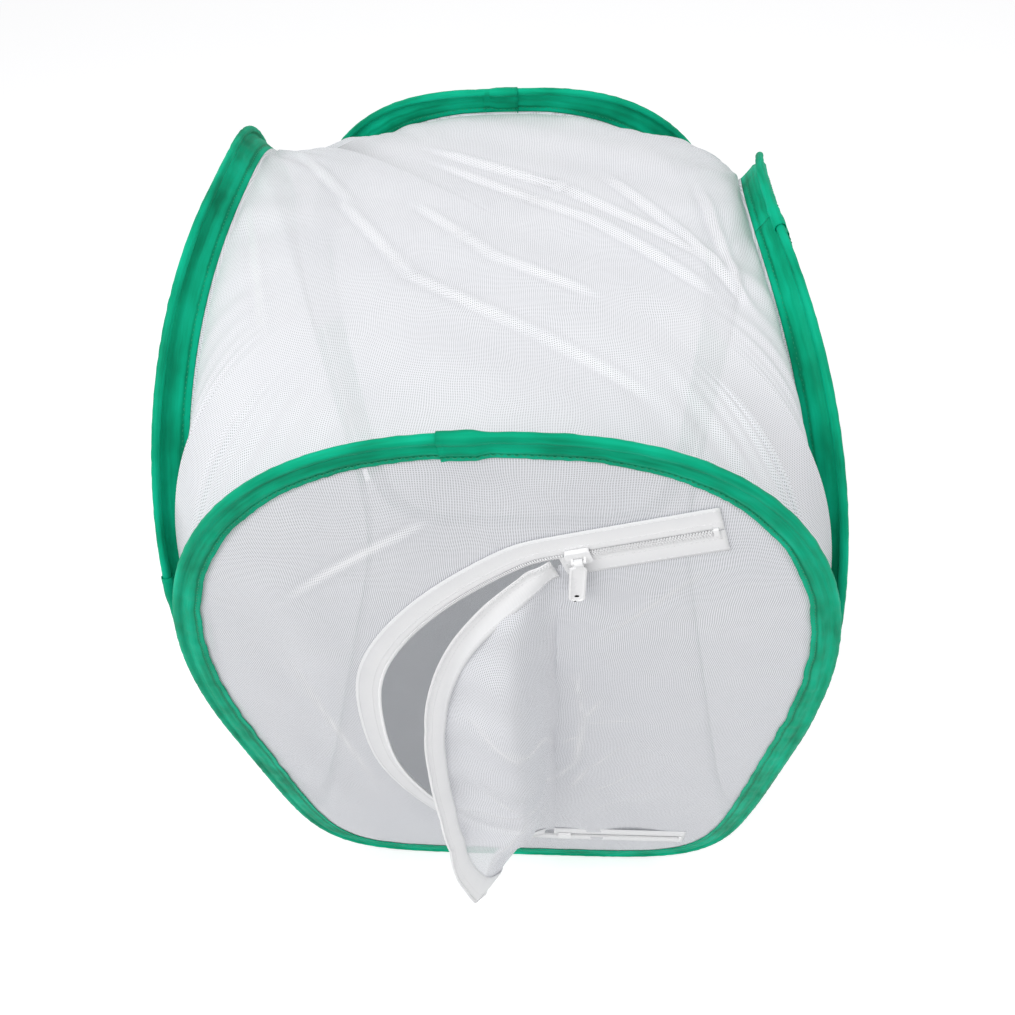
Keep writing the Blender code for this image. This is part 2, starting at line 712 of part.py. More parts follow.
def add_slider(chain, facing, pivot):
    """A slider: two plates joined by a post at the nose, with a bar on its inside or outside."""
    name = f"{chain.name}_slider"
    end = SLIDER_START + SLIDER_LENGTH
    half = SLIDER_WIDTH / 2

    def place(along, across, level):
        return flat_front(chain_places(chain, along, across), level)

    outline = rounded_box((SLIDER_START, -half), (end, half), SLIDER_CORNER)
    points, faces = extruded(outline, SLIDER_INSIDE, SLIDER_OUTSIDE, place)
    slider = add_mesh(name, points, faces, WHITE_PAINT, pivot)
    floor = SLIDER_INSIDE + SLIDER_WALL
    nose = SLIDER_START - OVERRUN
    tail = end + OVERRUN
    post = SLIDER_START + POST_LENGTH
    post_half = POST_WIDTH / 2
    channels = (
        ("coil_way", half - FLANGE_WIDTH, COIL_TOP + SLIDER_CLEARANCE),
        ("tape_way", half + OVERRUN, TAPE_TOP + LAYER_GAP),
    )
    for channel, reach, ceiling in channels:
        outline = [
            *((nose, -reach), (tail, -reach), (tail, reach), (nose, reach)),
            *((nose, post_half), (post, post_half), (post, -post_half), (nose, -post_half)),
        ]
        points, faces = extruded(outline, floor, ceiling, place)
        cutter = add_mesh(f"{name}_{channel}", points, faces, WHITE_PAINT, pivot)
        combine(slider, "DIFFERENCE", cutter)
    centre = (SLIDER_START + end) / 2
    skin = SLIDER_OUTSIDE if facing > 0 else SLIDER_INSIDE
    reach = BAR_LENGTH / 2
    foot = reach - BAR_FOOT
    root = skin - facing * SLIDER_WALL / 2
    low = skin + facing * (BAR_LIFT - BAR_THICKNESS / 2)
    high = skin + facing * (BAR_LIFT + BAR_THICKNESS / 2)
    staple = [
        *((centre - reach, root), (centre - reach, high), (centre + reach, high)),
        *((centre + reach, root), (centre + foot, root), (centre + foot, low)),
        *((centre - foot, low), (centre - foot, root)),
    ]
    points, faces = extruded(
        staple, -BAR_THICKNESS / 2, BAR_THICKNESS / 2, lambda a, level, b: place(a, b, level)
    )
    bar = add_mesh(f"{name}_bar", points, faces, WHITE_PAINT, pivot)
    combine(slider, "UNION", bar)


def bar_centre(chain, facing):
    """The middle of the bar on a slider, as a place on the front and a level."""
    skin = SLIDER_OUTSIDE if facing > 0 else SLIDER_INSIDE
    along = SLIDER_START + SLIDER_LENGTH / 2
    return chain_places(chain, along, 0), skin + facing * BAR_LIFT


def add_pull(chain, facing, pivot):
    """A pull tab: an eye round the slider's bar, and a plate that hangs straight down from it."""
    name = f"{chain.name}_pull"
    centre, level = bar_centre(chain, facing)

    def hanging(across, down, lift):
        return flat_front(centre + (across, -down), level + lift)

    def turning(across, lift, along):
        offset = chain_places(chain, along, across) - chain_places(chain, 0, 0)
        return flat_front(centre + offset, level + lift)

    half = PULL_THICKNESS / 2
    tab_outline = rounded_box((-PULL_WIDTH / 2, PULL_NECK), (PULL_WIDTH / 2, PULL_LENGTH), PULL_CORNER)
    neck_half = NECK_WIDTH / 2
    neck_end = PULL_NECK + PULL_CORNER
    neck_outline = [(-neck_half, 0), (neck_half, 0), (neck_half, neck_end), (-neck_half, neck_end)]
    hole_place = PULL_LENGTH - PULL_HOLE_INSET
    hole_outline = [(a, hole_place + b) for a, b in circle(PULL_HOLE_RADIUS)]
    thin = half * NECK_THICKNESS_SHARE
    parts = (
        ("tab", tab_outline, -half, half, hanging, None),
        ("neck", neck_outline, -thin, thin, hanging, "UNION"),
        ("eye", circle(EYE_RADIUS), -EYE_LENGTH / 2, EYE_LENGTH / 2, turning, "UNION"),
        ("bore", circle(EYE_BORE_RADIUS), -OVERRUN, OVERRUN, turning, "DIFFERENCE"),
        ("hole", hole_outline, -OVERRUN, OVERRUN, hanging, "DIFFERENCE"),
    )
    pull = None
    for part, outline, low, high, place, operation in parts:
        points, faces = extruded(outline, low, high, place)
        piece = add_mesh(f"{name}_{part}" if operation else name, points, faces, WHITE_PAINT, pivot)
        if operation:
            combine(pull, operation, piece)
        else:
            pull = piece


# The cage's four sides, each turned to its place about the middle of the cage
side_pivots = [make_pivot(f"{side.name}_frame", (0, 0, 0), side) for side in SIDES]
front_pivot = side_pivots[0]
nets = []
for side, pivot in zip(SIDES, side_pivots):
    add_wire(side, pivot)
    add_ferrule(side, pivot)
    add_binding(side, pivot)
    nets.append(add_net(side, pivot))
add_seam("front_left_seam", -CORNER, -CORNER, front_pivot)
add_seam("front_right_seam", CORNER, -CORNER, front_pivot)
add_seam("back_right_seam", CORNER, CORNER, front_pivot)
add_seam("back_left_seam", -CORNER, CORNER, front_pivot)

# The covers, sewn to all four bindings
half_way = STATIONS // 2
top_stations = np.arange(half_way - 1, 0, -1)
base_stations = np.arange(half_way + BASE_FIRST, STATIONS - BASE_FIRST + 1)
add_cover("top_net", top_stations, UPPER_EXPONENT, top_height, front_pivot)
add_cover("base_net", base_stations, LOWER_EXPONENT, base_height, front_pivot)

# The door in the front, its zip, and what runs on it
cut_door_out(nets[0], front_pivot)
full_path = zip_path(UPPER.length, LOWER.length)
frame_lines = [beside(full_path, edge) for edge in (TAPE_INNER_EDGE, TAPE_OUTER_EDGE)]
add_strip("frame_zip_tape", frame_lines, TAPE_LEVEL, flat_front, WHITE_TAPE, front_pivot)
coil_reach = SLIDER_START - COIL_END_GAP
add_coil("frame_coil", zip_path(coil_reach, coil_reach), 1, flat_front, front_pivot)
door_origin = (DOOR_HINGE_X, -PANEL_PLANE - DOOR_STAND_OFF, 0)
door_pivot = make_pivot("door_axis", door_origin)
add_door(door_pivot)
door_path = door_cut(DOOR_TAPE_GAP)
door_lines = [beside(door_path, -edge) for edge in (TAPE_INNER_EDGE, NET_EDGE, TAPE_OUTER_EDGE)]
add_strip("leaf_zip_tape", door_lines, TAPE_LEVEL, on_door, WHITE_TAPE, door_pivot)
add_coil("leaf_coil", door_cut(DOOR_COIL_GAP), -1, on_door, door_pivot)
for chain, facing in ((UPPER, 1), (LOWER, -1)):
    add_closed_zip(chain, front_pivot)
    start = flat_front(chain_places(chain, 0, 0), 0)
    slider_pivot = make_pivot(f"{chain.name}_chain_axis", start, tilt=chain.slope)
    add_slider(chain, facing, slider_pivot)
    centre, level = bar_centre(chain, facing)
    bar_origin = flat_front(centre, level)
    pull_pivot = make_pivot(f"{chain.name}_bar_axis", bar_origin, FRONT, slider_pivot, chain.slope)
    add_pull(chain, facing, pull_pivot)
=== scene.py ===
"""Pop-up insect cage: four sprung hoops in green satin bindings, white nets and a zipped door."""

import math
from collections import namedtuple

import bmesh
import bpy
import numpy as np
from mathutils import Matrix, Vector


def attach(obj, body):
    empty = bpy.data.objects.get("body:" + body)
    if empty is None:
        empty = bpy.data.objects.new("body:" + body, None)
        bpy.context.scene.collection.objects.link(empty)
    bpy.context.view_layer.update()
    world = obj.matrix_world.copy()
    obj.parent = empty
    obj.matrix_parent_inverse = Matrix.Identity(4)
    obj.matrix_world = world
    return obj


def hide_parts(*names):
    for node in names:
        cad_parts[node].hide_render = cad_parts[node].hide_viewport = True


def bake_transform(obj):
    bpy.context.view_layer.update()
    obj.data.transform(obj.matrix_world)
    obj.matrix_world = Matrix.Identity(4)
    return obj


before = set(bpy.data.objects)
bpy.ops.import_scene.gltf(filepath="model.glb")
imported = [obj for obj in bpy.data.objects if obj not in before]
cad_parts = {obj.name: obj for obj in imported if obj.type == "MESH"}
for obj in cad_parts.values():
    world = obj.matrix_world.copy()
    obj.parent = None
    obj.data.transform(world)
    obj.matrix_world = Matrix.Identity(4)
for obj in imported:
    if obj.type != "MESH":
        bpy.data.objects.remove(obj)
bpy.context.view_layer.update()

# The camera looks steeply down over the near top edge of the cage, a little from the right.
# Its place, its three turns and the shift of its frame are those of the photograph.
CAMERA_PLACE = Vector((0.02876, -0.39703, 0.84173))
CAMERA_PITCH = 0.88223
CAMERA_TURN = -0.09228
CAMERA_ROLL = -0.07012
CAMERA_LENS = 27.83
CAMERA_SHIFT = (0.0033, -0.0372)

ahead = Vector((math.sin(CAMERA_TURN) * math.cos(CAMERA_PITCH),
                math.cos(CAMERA_TURN) * math.cos(CAMERA_PITCH), -math.sin(CAMERA_PITCH)))
level_right = Vector((math.cos(CAMERA_TURN), -math.sin(CAMERA_TURN), 0))
level_up = level_right.cross(ahead)
tilted_right = math.cos(CAMERA_ROLL) * level_right + math.sin(CAMERA_ROLL) * level_up
tilted_up = math.cos(CAMERA_ROLL) * level_up - math.sin(CAMERA_ROLL) * level_right
lens = bpy.data.cameras.new("camera")
lens.lens = CAMERA_LENS
lens.sensor_width = 36
lens.shift_x, lens.shift_y = CAMERA_SHIFT
lens.clip_start = 0.01
camera = bpy.data.objects.new("camera", lens)
camera.matrix_world = Matrix.Translation(CAMERA_PLACE) @ Matrix(
    (tilted_right, tilted_up, -ahead)).transposed().to_4x4()
bpy.context.scene.collection.objects.link(camera)
bpy.context.scene.camera = camera
bpy.context.scene.view_settings.view_transform = "Standard"


# The floor is a wide pale sheet under soft studio light: an even sky of diffusers, a large key
# lamp high on the left and a weaker one on the right. Seen by the camera, floor and sky are white.
FLOOR_RADIUS = 6.0
FLOOR_COLOUR = (0.80, 0.80, 0.81, 1)
FLOOR_GLOW = 0.42
SKY_LIGHT = 0.62
Lamp = namedtuple("Lamp", "name place size power")
LAMPS = (
    Lamp("key_lamp", (-1.0, -0.9, 1.9), 1.1, 17),
    Lamp("side_lamp", (1.3, -0.2, 1.5), 1.2, 6),
)
LAMP_AIM = Vector((0, 0, 0.3))


def fill(tree, made, inputs):
    """Gives a node's inputs plain values or the outputs of other nodes."""
    for key, value in inputs.items():
        if isinstance(value, bpy.types.NodeSocket):
            tree.links.new(value, made.inputs[key])
        else:
            made.inputs[key].default_value = value


def node(tree, kind, inputs=None, **settings):
    """A new node with these inputs and settings."""
    made = tree.nodes.new(kind)
    for name, value in settings.items():
        setattr(made, name, value)
    fill(tree, made, inputs or {})
    return made


def reckon(tree, operation, *values):
    """The output of a Math node on two or three values."""
    return node(tree, "ShaderNodeMath", dict(enumerate(values)), operation=operation).outputs[0]


def ranged(tree, value, low, high, first, last, soft=False):
    """A value carried over from one range to another, with soft ends if wanted."""
    limits = {"From Min": low, "From Max": high, "To Min": first, "To Max": last}
    return node(tree, "ShaderNodeMapRange", {"Value": value, **limits},
                interpolation_type="SMOOTHSTEP" if soft else "LINEAR").outputs[0]


def seen_directly(tree):
    """1 on camera, glossy and transmission rays, which see the plain white studio."""
    path = node(tree, "ShaderNodeLightPath").outputs
    either = reckon(tree, "MAXIMUM", path["Is Camera Ray"], path["Is Glossy Ray"])
    return reckon(tree, "MAXIMUM", either, path["Is Transmission Ray"])


floor_shape = bmesh.new()
bmesh.ops.create_circle(floor_shape, cap_ends=True, segments=64, radius=FLOOR_RADIUS)
floor_mesh = bpy.data.meshes.new("floor")
floor_shape.to_mesh(floor_mesh)
floor_shape.free()
floor = bpy.data.objects.new("floor", floor_mesh)
bpy.context.scene.collection.objects.link(floor)
floor_paint = bpy.data.materials.new("studio_floor")
floor_paint.use_nodes = True
tree = floor_paint.node_tree
shader = tree.nodes["Principled BSDF"]
fill(tree, shader, {"Base Color": FLOOR_COLOUR, "Roughness": 1, "Specular IOR Level": 0})
glow = node(tree, "ShaderNodeEmission",
            {"Strength": reckon(tree, "MULTIPLY", seen_directly(tree), FLOOR_GLOW)})
both = node(tree, "ShaderNodeAddShader", {0: shader.outputs[0], 1: glow.outputs[0]})
fill(tree, tree.nodes["Material Output"], {"Surface": both.outputs[0]})
floor_mesh.materials.append(floor_paint)

sky = bpy.data.worlds.new("sky")
bpy.context.scene.world = sky
sky.use_nodes = True
tree = sky.node_tree
shine = ranged(tree, seen_directly(tree), 0, 1, SKY_LIGHT, 1)
fill(tree, tree.nodes["Background"], {"Color": (1, 1, 1, 1), "Strength": shine})
for lamp in LAMPS:
    light = bpy.data.lights.new(lamp.name, "AREA")
    light.energy = lamp.power
    light.size = lamp.size
    holder = bpy.data.objects.new(lamp.name, light)
    turned = (LAMP_AIM - Vector(lamp.place)).to_track_quat("-Z", "Y").to_matrix().to_4x4()
    holder.matrix_world = Matrix.Translation(lamp.place) @ turned
    bpy.context.scene.collection.objects.link(holder)


# The bindings: a strip of green satin folded round each sprung wire, with its two lips sewn
# either side of the netting. Each strip starts and ends in a lapped join, and puckers on the curve.
CAGE_SPAN = 0.400
WIDEST_HEIGHT = 0.2967
UPPER_EXPONENT = 2.45
LOWER_EXPONENT = 5.2
APEX_ROUNDING_SHARE = 0.65
TUNNEL_RADIUS = 0.0020
BINDING_CLOTH = 0.0005
TUBE_RADIUS = TUNNEL_RADIUS + BINDING_CLOTH
HEM_WIDTH = 0.016
HEM_EDGE = HEM_WIDTH - TUBE_RADIUS
NET_CLOTH = 0.0006
LAYER_GAP = 0.0003
PANEL_PLANE = CAGE_SPAN / 2 - TUBE_RADIUS
WIRE_INSET = 0.0046
WIRE_SPAN = PANEL_PLANE - WIRE_INSET
LIP_LEVEL = NET_CLOTH / 2 + LAYER_GAP + BINDING_CLOTH / 2
FOLD_RADIUS = TUNNEL_RADIUS + BINDING_CLOTH / 2
FOLD_TURN = math.pi - math.asin(LIP_LEVEL / FOLD_RADIUS)
FOLD_LENGTH = FOLD_RADIUS * FOLD_TURN
FOLD_END = -FOLD_RADIUS * math.cos(FOLD_TURN)
STRIP_HALF = FOLD_LENGTH + HEM_EDGE - FOLD_END
JOIN_LAP = 0.014
JOIN_RAMP = 0.006
JOIN_LIFT = 0.0008
LAP_ALLOWANCE = 1.3
LIP_WIDENING = (0.05, 0.55)
SPLAY_HEIGHTS = (0.33, 0.45)
SPLAY_BEND = 0.004
TUBE_WOBBLE = 0.00012
TUBE_WOBBLE_SPACING = 0.012
PRESSED_FOLD = 0.0065
PRESSED_HEIGHT = 0.0006
PRESSED_SPREAD = 0.0011
PUCKER_HEIGHT = 0.00055
PUCKER_SPACING = 0.021
PUCKER_SKEW = 2
GATHER_HEIGHT = 0.00022
GATHER_SPACING = 0.0065
GATHER_SKEW = 4
LIP_WOBBLE = 0.0004
LIP_WOBBLE_SPACING = 0.045
LIP_WOBBLE_SEED = 7
LIP_SWELL = 0.8
BINDING_COLUMNS = 34
BINDING_ROWS = 600
SATIN_WALL = 0.00030
GROOVE_INSET = 0.0034
GROOVE_WIDTH = 0.0011
HEM_STEPS = 6
HOOP_STEPS = 400
PROBE = 0.0015
WAVE_COUNT = 7
WAVE_TOTAL = 3.2
MERGED_WITHIN = 2e-6
# Painted shade in the pressed groove by the stitches
GROOVE_SHADE = 0.22
# Painted highlight on the lip, from that groove out to its edge
EDGE_HIGHLIGHT = 0.07
# Scale of the painted sheen streaks, across and along the strip
SATIN_STREAKS = (420, 16, 1)
SATIN_PATCHES = (70, 26, 1)
SATIN_DARK = (0.0005, 0.230, 0.115, 1)
SATIN_MIDDLE = (0.0008, 0.400, 0.215, 1)
SATIN_BRIGHT = (0.0030, 0.530, 0.310, 1)

# In each side: its turn about the cage, the height and lean of its hoop, the shift of its apex and
# the exponent of its right shoulder, the angle round the hoop of its join, how far its outer lip
# reaches in at the apex and at the sides, and its inner lip, and how wide the top netting pulls the
# inner lip open, in radians.
Side = namedtuple("Side", ("name", "turn", "height", "lean", "shift", "shoulder", "join",
                           "apex_lip", "side_lip", "inner_lip", "splay"))
FRONT = Side("front", 0, 0.620, 0, 0.0070, UPPER_EXPONENT, 1.575,
             0.0110, 0.0155, 0.0135, 0)
RIGHT = Side("right", math.pi / 2, 0.590, 0.0448, 0.0299, 1.95, 1.66,
             0.0170, 0.0175, 0.0185, 1.05)
BACK = Side("back", math.pi, 0.594, 0.0560, 0.0040, UPPER_EXPONENT, 1.53,
            0.0170, 0.0175, 0.0185, 0.35)
LEFT = Side("left", 3 * math.pi / 2, 0.602, 0.0299, -0.0353, UPPER_EXPONENT, 0.42,
            0.0170, 0.0175, 0.0185, 1.05)
SIDES = (FRONT, RIGHT, BACK, LEFT)


def hoop_outline(side, angles):
    """Across and up places of the wire, anticlockwise from the hoop's widest point."""
    sine = np.sin(angles)
    cosine = np.cos(angles)
    upper_reach = side.height - TUBE_RADIUS - WIDEST_HEIGHT
    lower_reach = WIDEST_HEIGHT - TUBE_RADIUS
    upper_exponent = np.where(cosine > 0, side.shoulder, UPPER_EXPONENT)
    exponent = np.where(sine > 0, upper_exponent, LOWER_EXPONENT)
    rise = np.sign(sine) * np.abs(sine) ** (2 / exponent)
    width = np.sign(cosine) * np.abs(cosine) ** (2 / exponent)
    up = WIDEST_HEIGHT + np.where(sine > 0, upper_reach, lower_reach) * rise
    across = WIRE_SPAN * width + side.shift * np.clip(rise, 0, 1) ** 2
    return np.stack([across, up], axis=-1)


def panel_depth(side, up):
    """Distance of a panel from the cage's middle plane at these heights."""
    reach = side.height - TUBE_RADIUS - WIDEST_HEIGHT
    rise = np.clip((up - WIDEST_HEIGHT) / reach, 0, 1)
    width = (1 - rise**UPPER_EXPONENT) ** (1 / UPPER_EXPONENT)
    rounded = np.hypot(width, APEX_ROUNDING_SHARE) - APEX_ROUNDING_SHARE
    softened = rounded / (math.hypot(1, APEX_ROUNDING_SHARE) - APEX_ROUNDING_SHARE)
    return PANEL_PLANE - side.lean * (1 - softened)


def panel_slope(side, up):
    """How fast the panel's depth changes with height."""
    return (panel_depth(side, up + PROBE) - panel_depth(side, up - PROBE)) / (2 * PROBE)


def on_panel(side, places, outward):
    """Points in the cage's frame at these places on a panel, moved outward along its normal."""
    up = places[..., 1]
    slope = panel_slope(side, up)
    lift = outward / np.hypot(1, slope)
    points = np.stack([places[..., 0], -panel_depth(side, up) - lift, up - slope * lift], axis=-1)
    return points @ np.array(Matrix.Rotation(side.turn, 3, "Z")).T


Hoop = namedtuple("Hoop", "side shares places inward angles length")


def hoop_from(side, start, end, count):
    """A stretch of hoop between two angles, as evenly spaced places with their ways in."""
    even = np.linspace(0, 1, HOOP_STEPS) ** (LOWER_EXPONENT / 2)
    quarter = np.concatenate([np.linspace(0, math.pi / 2, HOOP_STEPS), np.arcsin(even),
                              np.arccos(even)])
    fine = np.concatenate([quarter + turn * math.pi / 2 for turn in range(-4, 9)])
    fine = np.unique(np.concatenate([[start, end], fine[(fine > start) & (fine < end)]]))
    steps = np.linalg.norm(np.diff(hoop_outline(side, fine), axis=0), axis=1)
    travelled = np.concatenate([[0], np.cumsum(steps)])
    angles = np.interp(np.linspace(0, travelled[-1], count + 1), travelled, fine)
    places = hoop_outline(side, angles)
    along = np.gradient(places, axis=0)
    inward = np.stack([-along[:, 1], along[:, 0]], axis=-1)
    inward = inward / np.linalg.norm(inward, axis=1, keepdims=True)
    return Hoop(side, np.linspace(0, 1, count + 1), places, inward, angles, travelled[-1])


def along_hoop(hoop, shares):
    """Places and ways in at these shares of a stretch of hoop."""
    places = [np.interp(shares, hoop.shares, column) for column in hoop.places.T]
    inward = [np.interp(shares, hoop.shares, column) for column in hoop.inward.T]
    return np.stack(places, axis=-1), np.stack(inward, axis=-1)


def hem_places(side, places, inward, distance):
    """Places this far in from the wire, measured along the cloth."""
    for _ in range(HEM_STEPS):
        stretch = np.hypot(1, inward[..., 1] * panel_slope(side, places[..., 1]))
        places = places + inward * (distance / HEM_STEPS / stretch)[..., None]
    return places


def waves(across, along, spacing, seed, skew=1.0):
    """Uneven soft folds over a cloth, from about -1 to 1. A skew over 1 draws them out across."""
    chance = np.random.default_rng(seed)
    total = 0
    for _ in range(WAVE_COUNT):
        turn = chance.uniform(-0.6, 0.6)
        pace = 2 * math.pi / spacing * chance.uniform(0.6, 1.5)
        phase = chance.uniform(0, 2 * math.pi)
        travel = along * math.cos(turn) + across / skew * math.sin(turn)
        total = total + np.sin(pace * travel + phase)
    return total / WAVE_TOTAL


def smooth_step(low, high, value):
    """0 below the low value and 1 above the high one, with a soft rise between."""
    share = np.clip((value - low) / (high - low), 0, 1)
    return share * share * (3 - 2 * share)


def lip_width(side, hoop, shares):
    """How far the outer lip reaches in from the wire, widening from the apex to the sides."""
    places, _ = along_hoop(hoop, shares)
    share = smooth_step(*LIP_WIDENING, (side.height - places[:, 1]) / side.height)
    return side.apex_lip + (side.side_lip - side.apex_lip) * share


def splay_at(side, up):
    """How far the inner lip opens away from its panel at these heights."""
    return side.splay * smooth_step(*SPLAY_HEIGHTS, up)


def on_binding(hoop, reach, shares, proud=0.0):
    """Points on a folded binding. The reach is along the cloth from the crown of the fold, below 0
    to the outer lip and above 0 to the inner one. Proud is how far they stand off the cloth."""
    side = hoop.side
    places, inward = along_hoop(hoop, shares)
    outside = reach < 0
    along = shares * hoop.length
    lap_start = hoop.length - JOIN_LAP
    lapped = smooth_step(lap_start - JOIN_RAMP, lap_start, along) * JOIN_LIFT
    lip = np.where(outside, lip_width(side, hoop, shares), side.inner_lip)
    stretch = (lip - FOLD_END) / (HEM_EDGE - FOLD_END)
    turn = np.clip(np.abs(reach), 0, FOLD_LENGTH) / FOLD_RADIUS
    uneven = TUBE_WOBBLE * waves(reach, along, TUBE_WOBBLE_SPACING, len(side.name))
    radius = FOLD_RADIUS + proud + lapped + uneven
    past = np.clip(np.abs(reach) - FOLD_LENGTH, 0, None) * stretch
    distance = -radius * np.cos(turn) + past
    lip_share = past / (lip - FOLD_END)
    swell = waves(reach, along, PUCKER_SPACING, round(side.height * 1000), PUCKER_SKEW)
    pucker = PUCKER_HEIGHT * (0.5 + 0.5 * swell)
    ripple = waves(reach, along, GATHER_SPACING, round(side.height * 500), GATHER_SKEW)
    gather = GATHER_HEIGHT * ripple
    crease = PRESSED_HEIGHT * np.exp(-(((distance - PRESSED_FOLD) / PRESSED_SPREAD) ** 2))
    open_lip = np.sin(math.pi * np.clip(lip_share, 0, 1) ** LIP_SWELL)
    off_groove = np.abs(np.abs(reach) - (STRIP_HALF - GROOVE_INSET)) / (2 * GROOVE_WIDTH)
    open_lip = open_lip * smooth_step(0, 1, off_groove)
    level = np.where(past > 0, LIP_LEVEL + lapped + proud + pucker * open_lip + crease
                     + gather * lip_share, radius * np.sin(turn))
    wobble = LIP_WOBBLE * lip_share * waves(reach, along, LIP_WOBBLE_SPACING, LIP_WOBBLE_SEED)
    opened = np.where(outside, 0, splay_at(side, places[:, 1])) * np.clip(past / SPLAY_BEND, 0, 1)
    distance = np.where(past > 0, distance - past * (1 - np.cos(opened)), distance)
    level = np.where(past > 0, level + past * np.sin(opened), level)
    level = level * np.where(outside, 1, -1)
    hemmed = hem_places(side, places, inward, np.clip(distance + wobble, 0, None))
    slope = panel_slope(side, hemmed[:, 1])
    way_out = inward * np.clip(distance, None, 0)[:, None]
    return on_panel(side, hemmed + way_out / np.hypot(1, inward[:, 1] * slope)[:, None], level)


def sheet_from(name, columns, rows, law, material, wall=0.0, cut=None, closed=False, gather=None):
    """A cloth made from a flat grid. The law gives the points and weave places of its shares, and
    gather, if given, how bunched up it is there."""
    shape = bmesh.new()
    weave_layer = shape.loops.layers.uv.new("weave")
    bmesh.ops.create_grid(shape, x_segments=columns, y_segments=rows, size=0.5)
    shares = np.array([vert.co[:2] for vert in shape.verts]) + 0.5
    points, weave = law(shares[:, 0], shares[:, 1])
    for vert, point in zip(shape.verts, points.tolist()):
        vert.co = point
    if gather is not None:
        gather_layer = shape.verts.layers.float.new("gather")
        for vert, bunching_and_highlight in zip(shape.verts, gather(points, weave).tolist()):
            vert[gather_layer] = bunching_and_highlight
    weave = weave.tolist()
    shape.verts.index_update()
    for face in shape.faces:
        for loop in face.loops:
            loop[weave_layer].uv = weave[loop.vert.index]
    if cut is not None:
        middles = np.array([np.mean([weave[vert.index] for vert in face.verts], axis=0)
                            for face in shape.faces])
        gone = [face for face, lost in zip(shape.faces, within(cut, middles)) if lost]
        bmesh.ops.delete(shape, geom=gone, context="FACES")
    bmesh.ops.remove_doubles(shape, verts=shape.verts, dist=MERGED_WITHIN)
    if closed:
        bmesh.ops.recalc_face_normals(shape, faces=shape.faces)
    mesh = bpy.data.meshes.new(name)
    shape.to_mesh(mesh)
    shape.free()
    mesh.shade_smooth()
    mesh.materials.append(material)
    piece = bpy.data.objects.new(name, mesh)
    bpy.context.scene.collection.objects.link(piece)
    if wall:
        thickness = piece.modifiers.new("wall", "SOLIDIFY")
        thickness.thickness = wall
        thickness.offset = 0
    return piece


def settle(piece, body, cad_name=None):
    """A finished piece, with the body it rides on and the CAD node it stands for."""
    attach(piece, body)
    if cad_name:
        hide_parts(cad_name)


def new_material(name):
    """A material with its tree and shader, ready for its nodes."""
    material = bpy.data.materials.new(name)
    material.use_nodes = True
    return material, material.node_tree, material.node_tree.nodes["Principled BSDF"]


def noise(tree, place, scale, detail=2, roughness=0.5, flat=False):
    """The grey values of a noise, in the plane of a cloth's weave if flat."""
    return node(tree, "ShaderNodeTexNoise",
                {"Vector": place, "Scale": scale, "Detail": detail, "Roughness": roughness},
                noise_dimensions="2D" if flat else "3D").outputs["Fac"]


def blend_colours(tree, share, first, second):
    """A colour between the first and the second."""
    return node(tree, "ShaderNodeMix", {0: share, 6: first, 7: second}, data_type="RGBA").outputs[2]


def dress(tree, shader, colour, bumps, rest):
    """Gives a shader its colour, its bumps as strength, depth and height, and the rest."""
    bump = node(tree, "ShaderNodeBump", dict(zip(("Strength", "Distance", "Height"), bumps)))
    fill(tree, shader, {"Base Color": colour, "Normal": bump.outputs[0], **rest})


def new_group(name, inputs, outputs):
    """A shader node group with these named inputs and outputs."""
    made = bpy.data.node_groups.new(name, "ShaderNodeTree")
    for label, kind, value in inputs:
        socket = made.interface.new_socket(label, in_out="INPUT", socket_type=kind)
        if value is not None:
            socket.default_value = value
    for label, kind in outputs:
        made.interface.new_socket(label, in_out="OUTPUT", socket_type=kind)
    return made, made.nodes.new("NodeGroupInput").outputs, made.nodes.new("NodeGroupOutput").inputs


def place_group(tree, tool, inputs):
    """A node group placed in a material, with its own values."""
    return node(tree, "ShaderNodeGroup", inputs, node_tree=tool).outputs


# Woven threads: bulges where one thread passes over the other, from the cloth's weave places
threads, given, wanted = new_group(
    "woven_threads",
    (("Weave", "NodeSocketVector", None), ("Across", "NodeSocketFloat", 0.0004),
     ("Along", "NodeSocketFloat", 0.0004)),
    (("Height", "NodeSocketFloat"), ("Tone", "NodeSocketFloat")),
)
apart = node(threads, "ShaderNodeSeparateXYZ", {0: given["Weave"]}).outputs
over, under = [
    reckon(threads, "SINE", reckon(threads, "DIVIDE", reckon(
        threads, "MULTIPLY", apart[axis], 2 * math.pi), given[spacing]))
    for axis, spacing in (("X", "Across"), ("Y", "Along"))]
crossing = reckon(threads, "MULTIPLY", over, under)
threads.links.new(reckon(threads, "MULTIPLY_ADD", crossing, 0.5, 0.5), wanted["Height"])
threads.links.new(noise(threads, given["Weave"], 900, flat=True), wanted["Tone"])

satin, tree, shader = new_material("green_satin")
weave = node(tree, "ShaderNodeUVMap", uv_map="weave").outputs[0]
streaked = node(tree, "ShaderNodeVectorMath", {0: weave, 1: SATIN_STREAKS}, operation="MULTIPLY")
patchy = node(tree, "ShaderNodeVectorMath", {0: weave, 1: SATIN_PATCHES}, operation="MULTIPLY")
# A painted sheen: streaks of lighter and darker green along the strip, also used as a bump.
sheen = noise(tree, streaked.outputs[0], 1, detail=3, roughness=0.55, flat=True)
broad = noise(tree, patchy.outputs[0], 1, flat=True)
across = node(tree, "ShaderNodeSeparateXYZ", {"Vector": weave}).outputs["X"]
from_crown = reckon(tree, "ABSOLUTE", reckon(tree, "SUBTRACT", across, STRIP_HALF))
groove_place = STRIP_HALF - GROOVE_INSET
off_groove = reckon(tree, "ABSOLUTE", reckon(tree, "SUBTRACT", from_crown, groove_place))
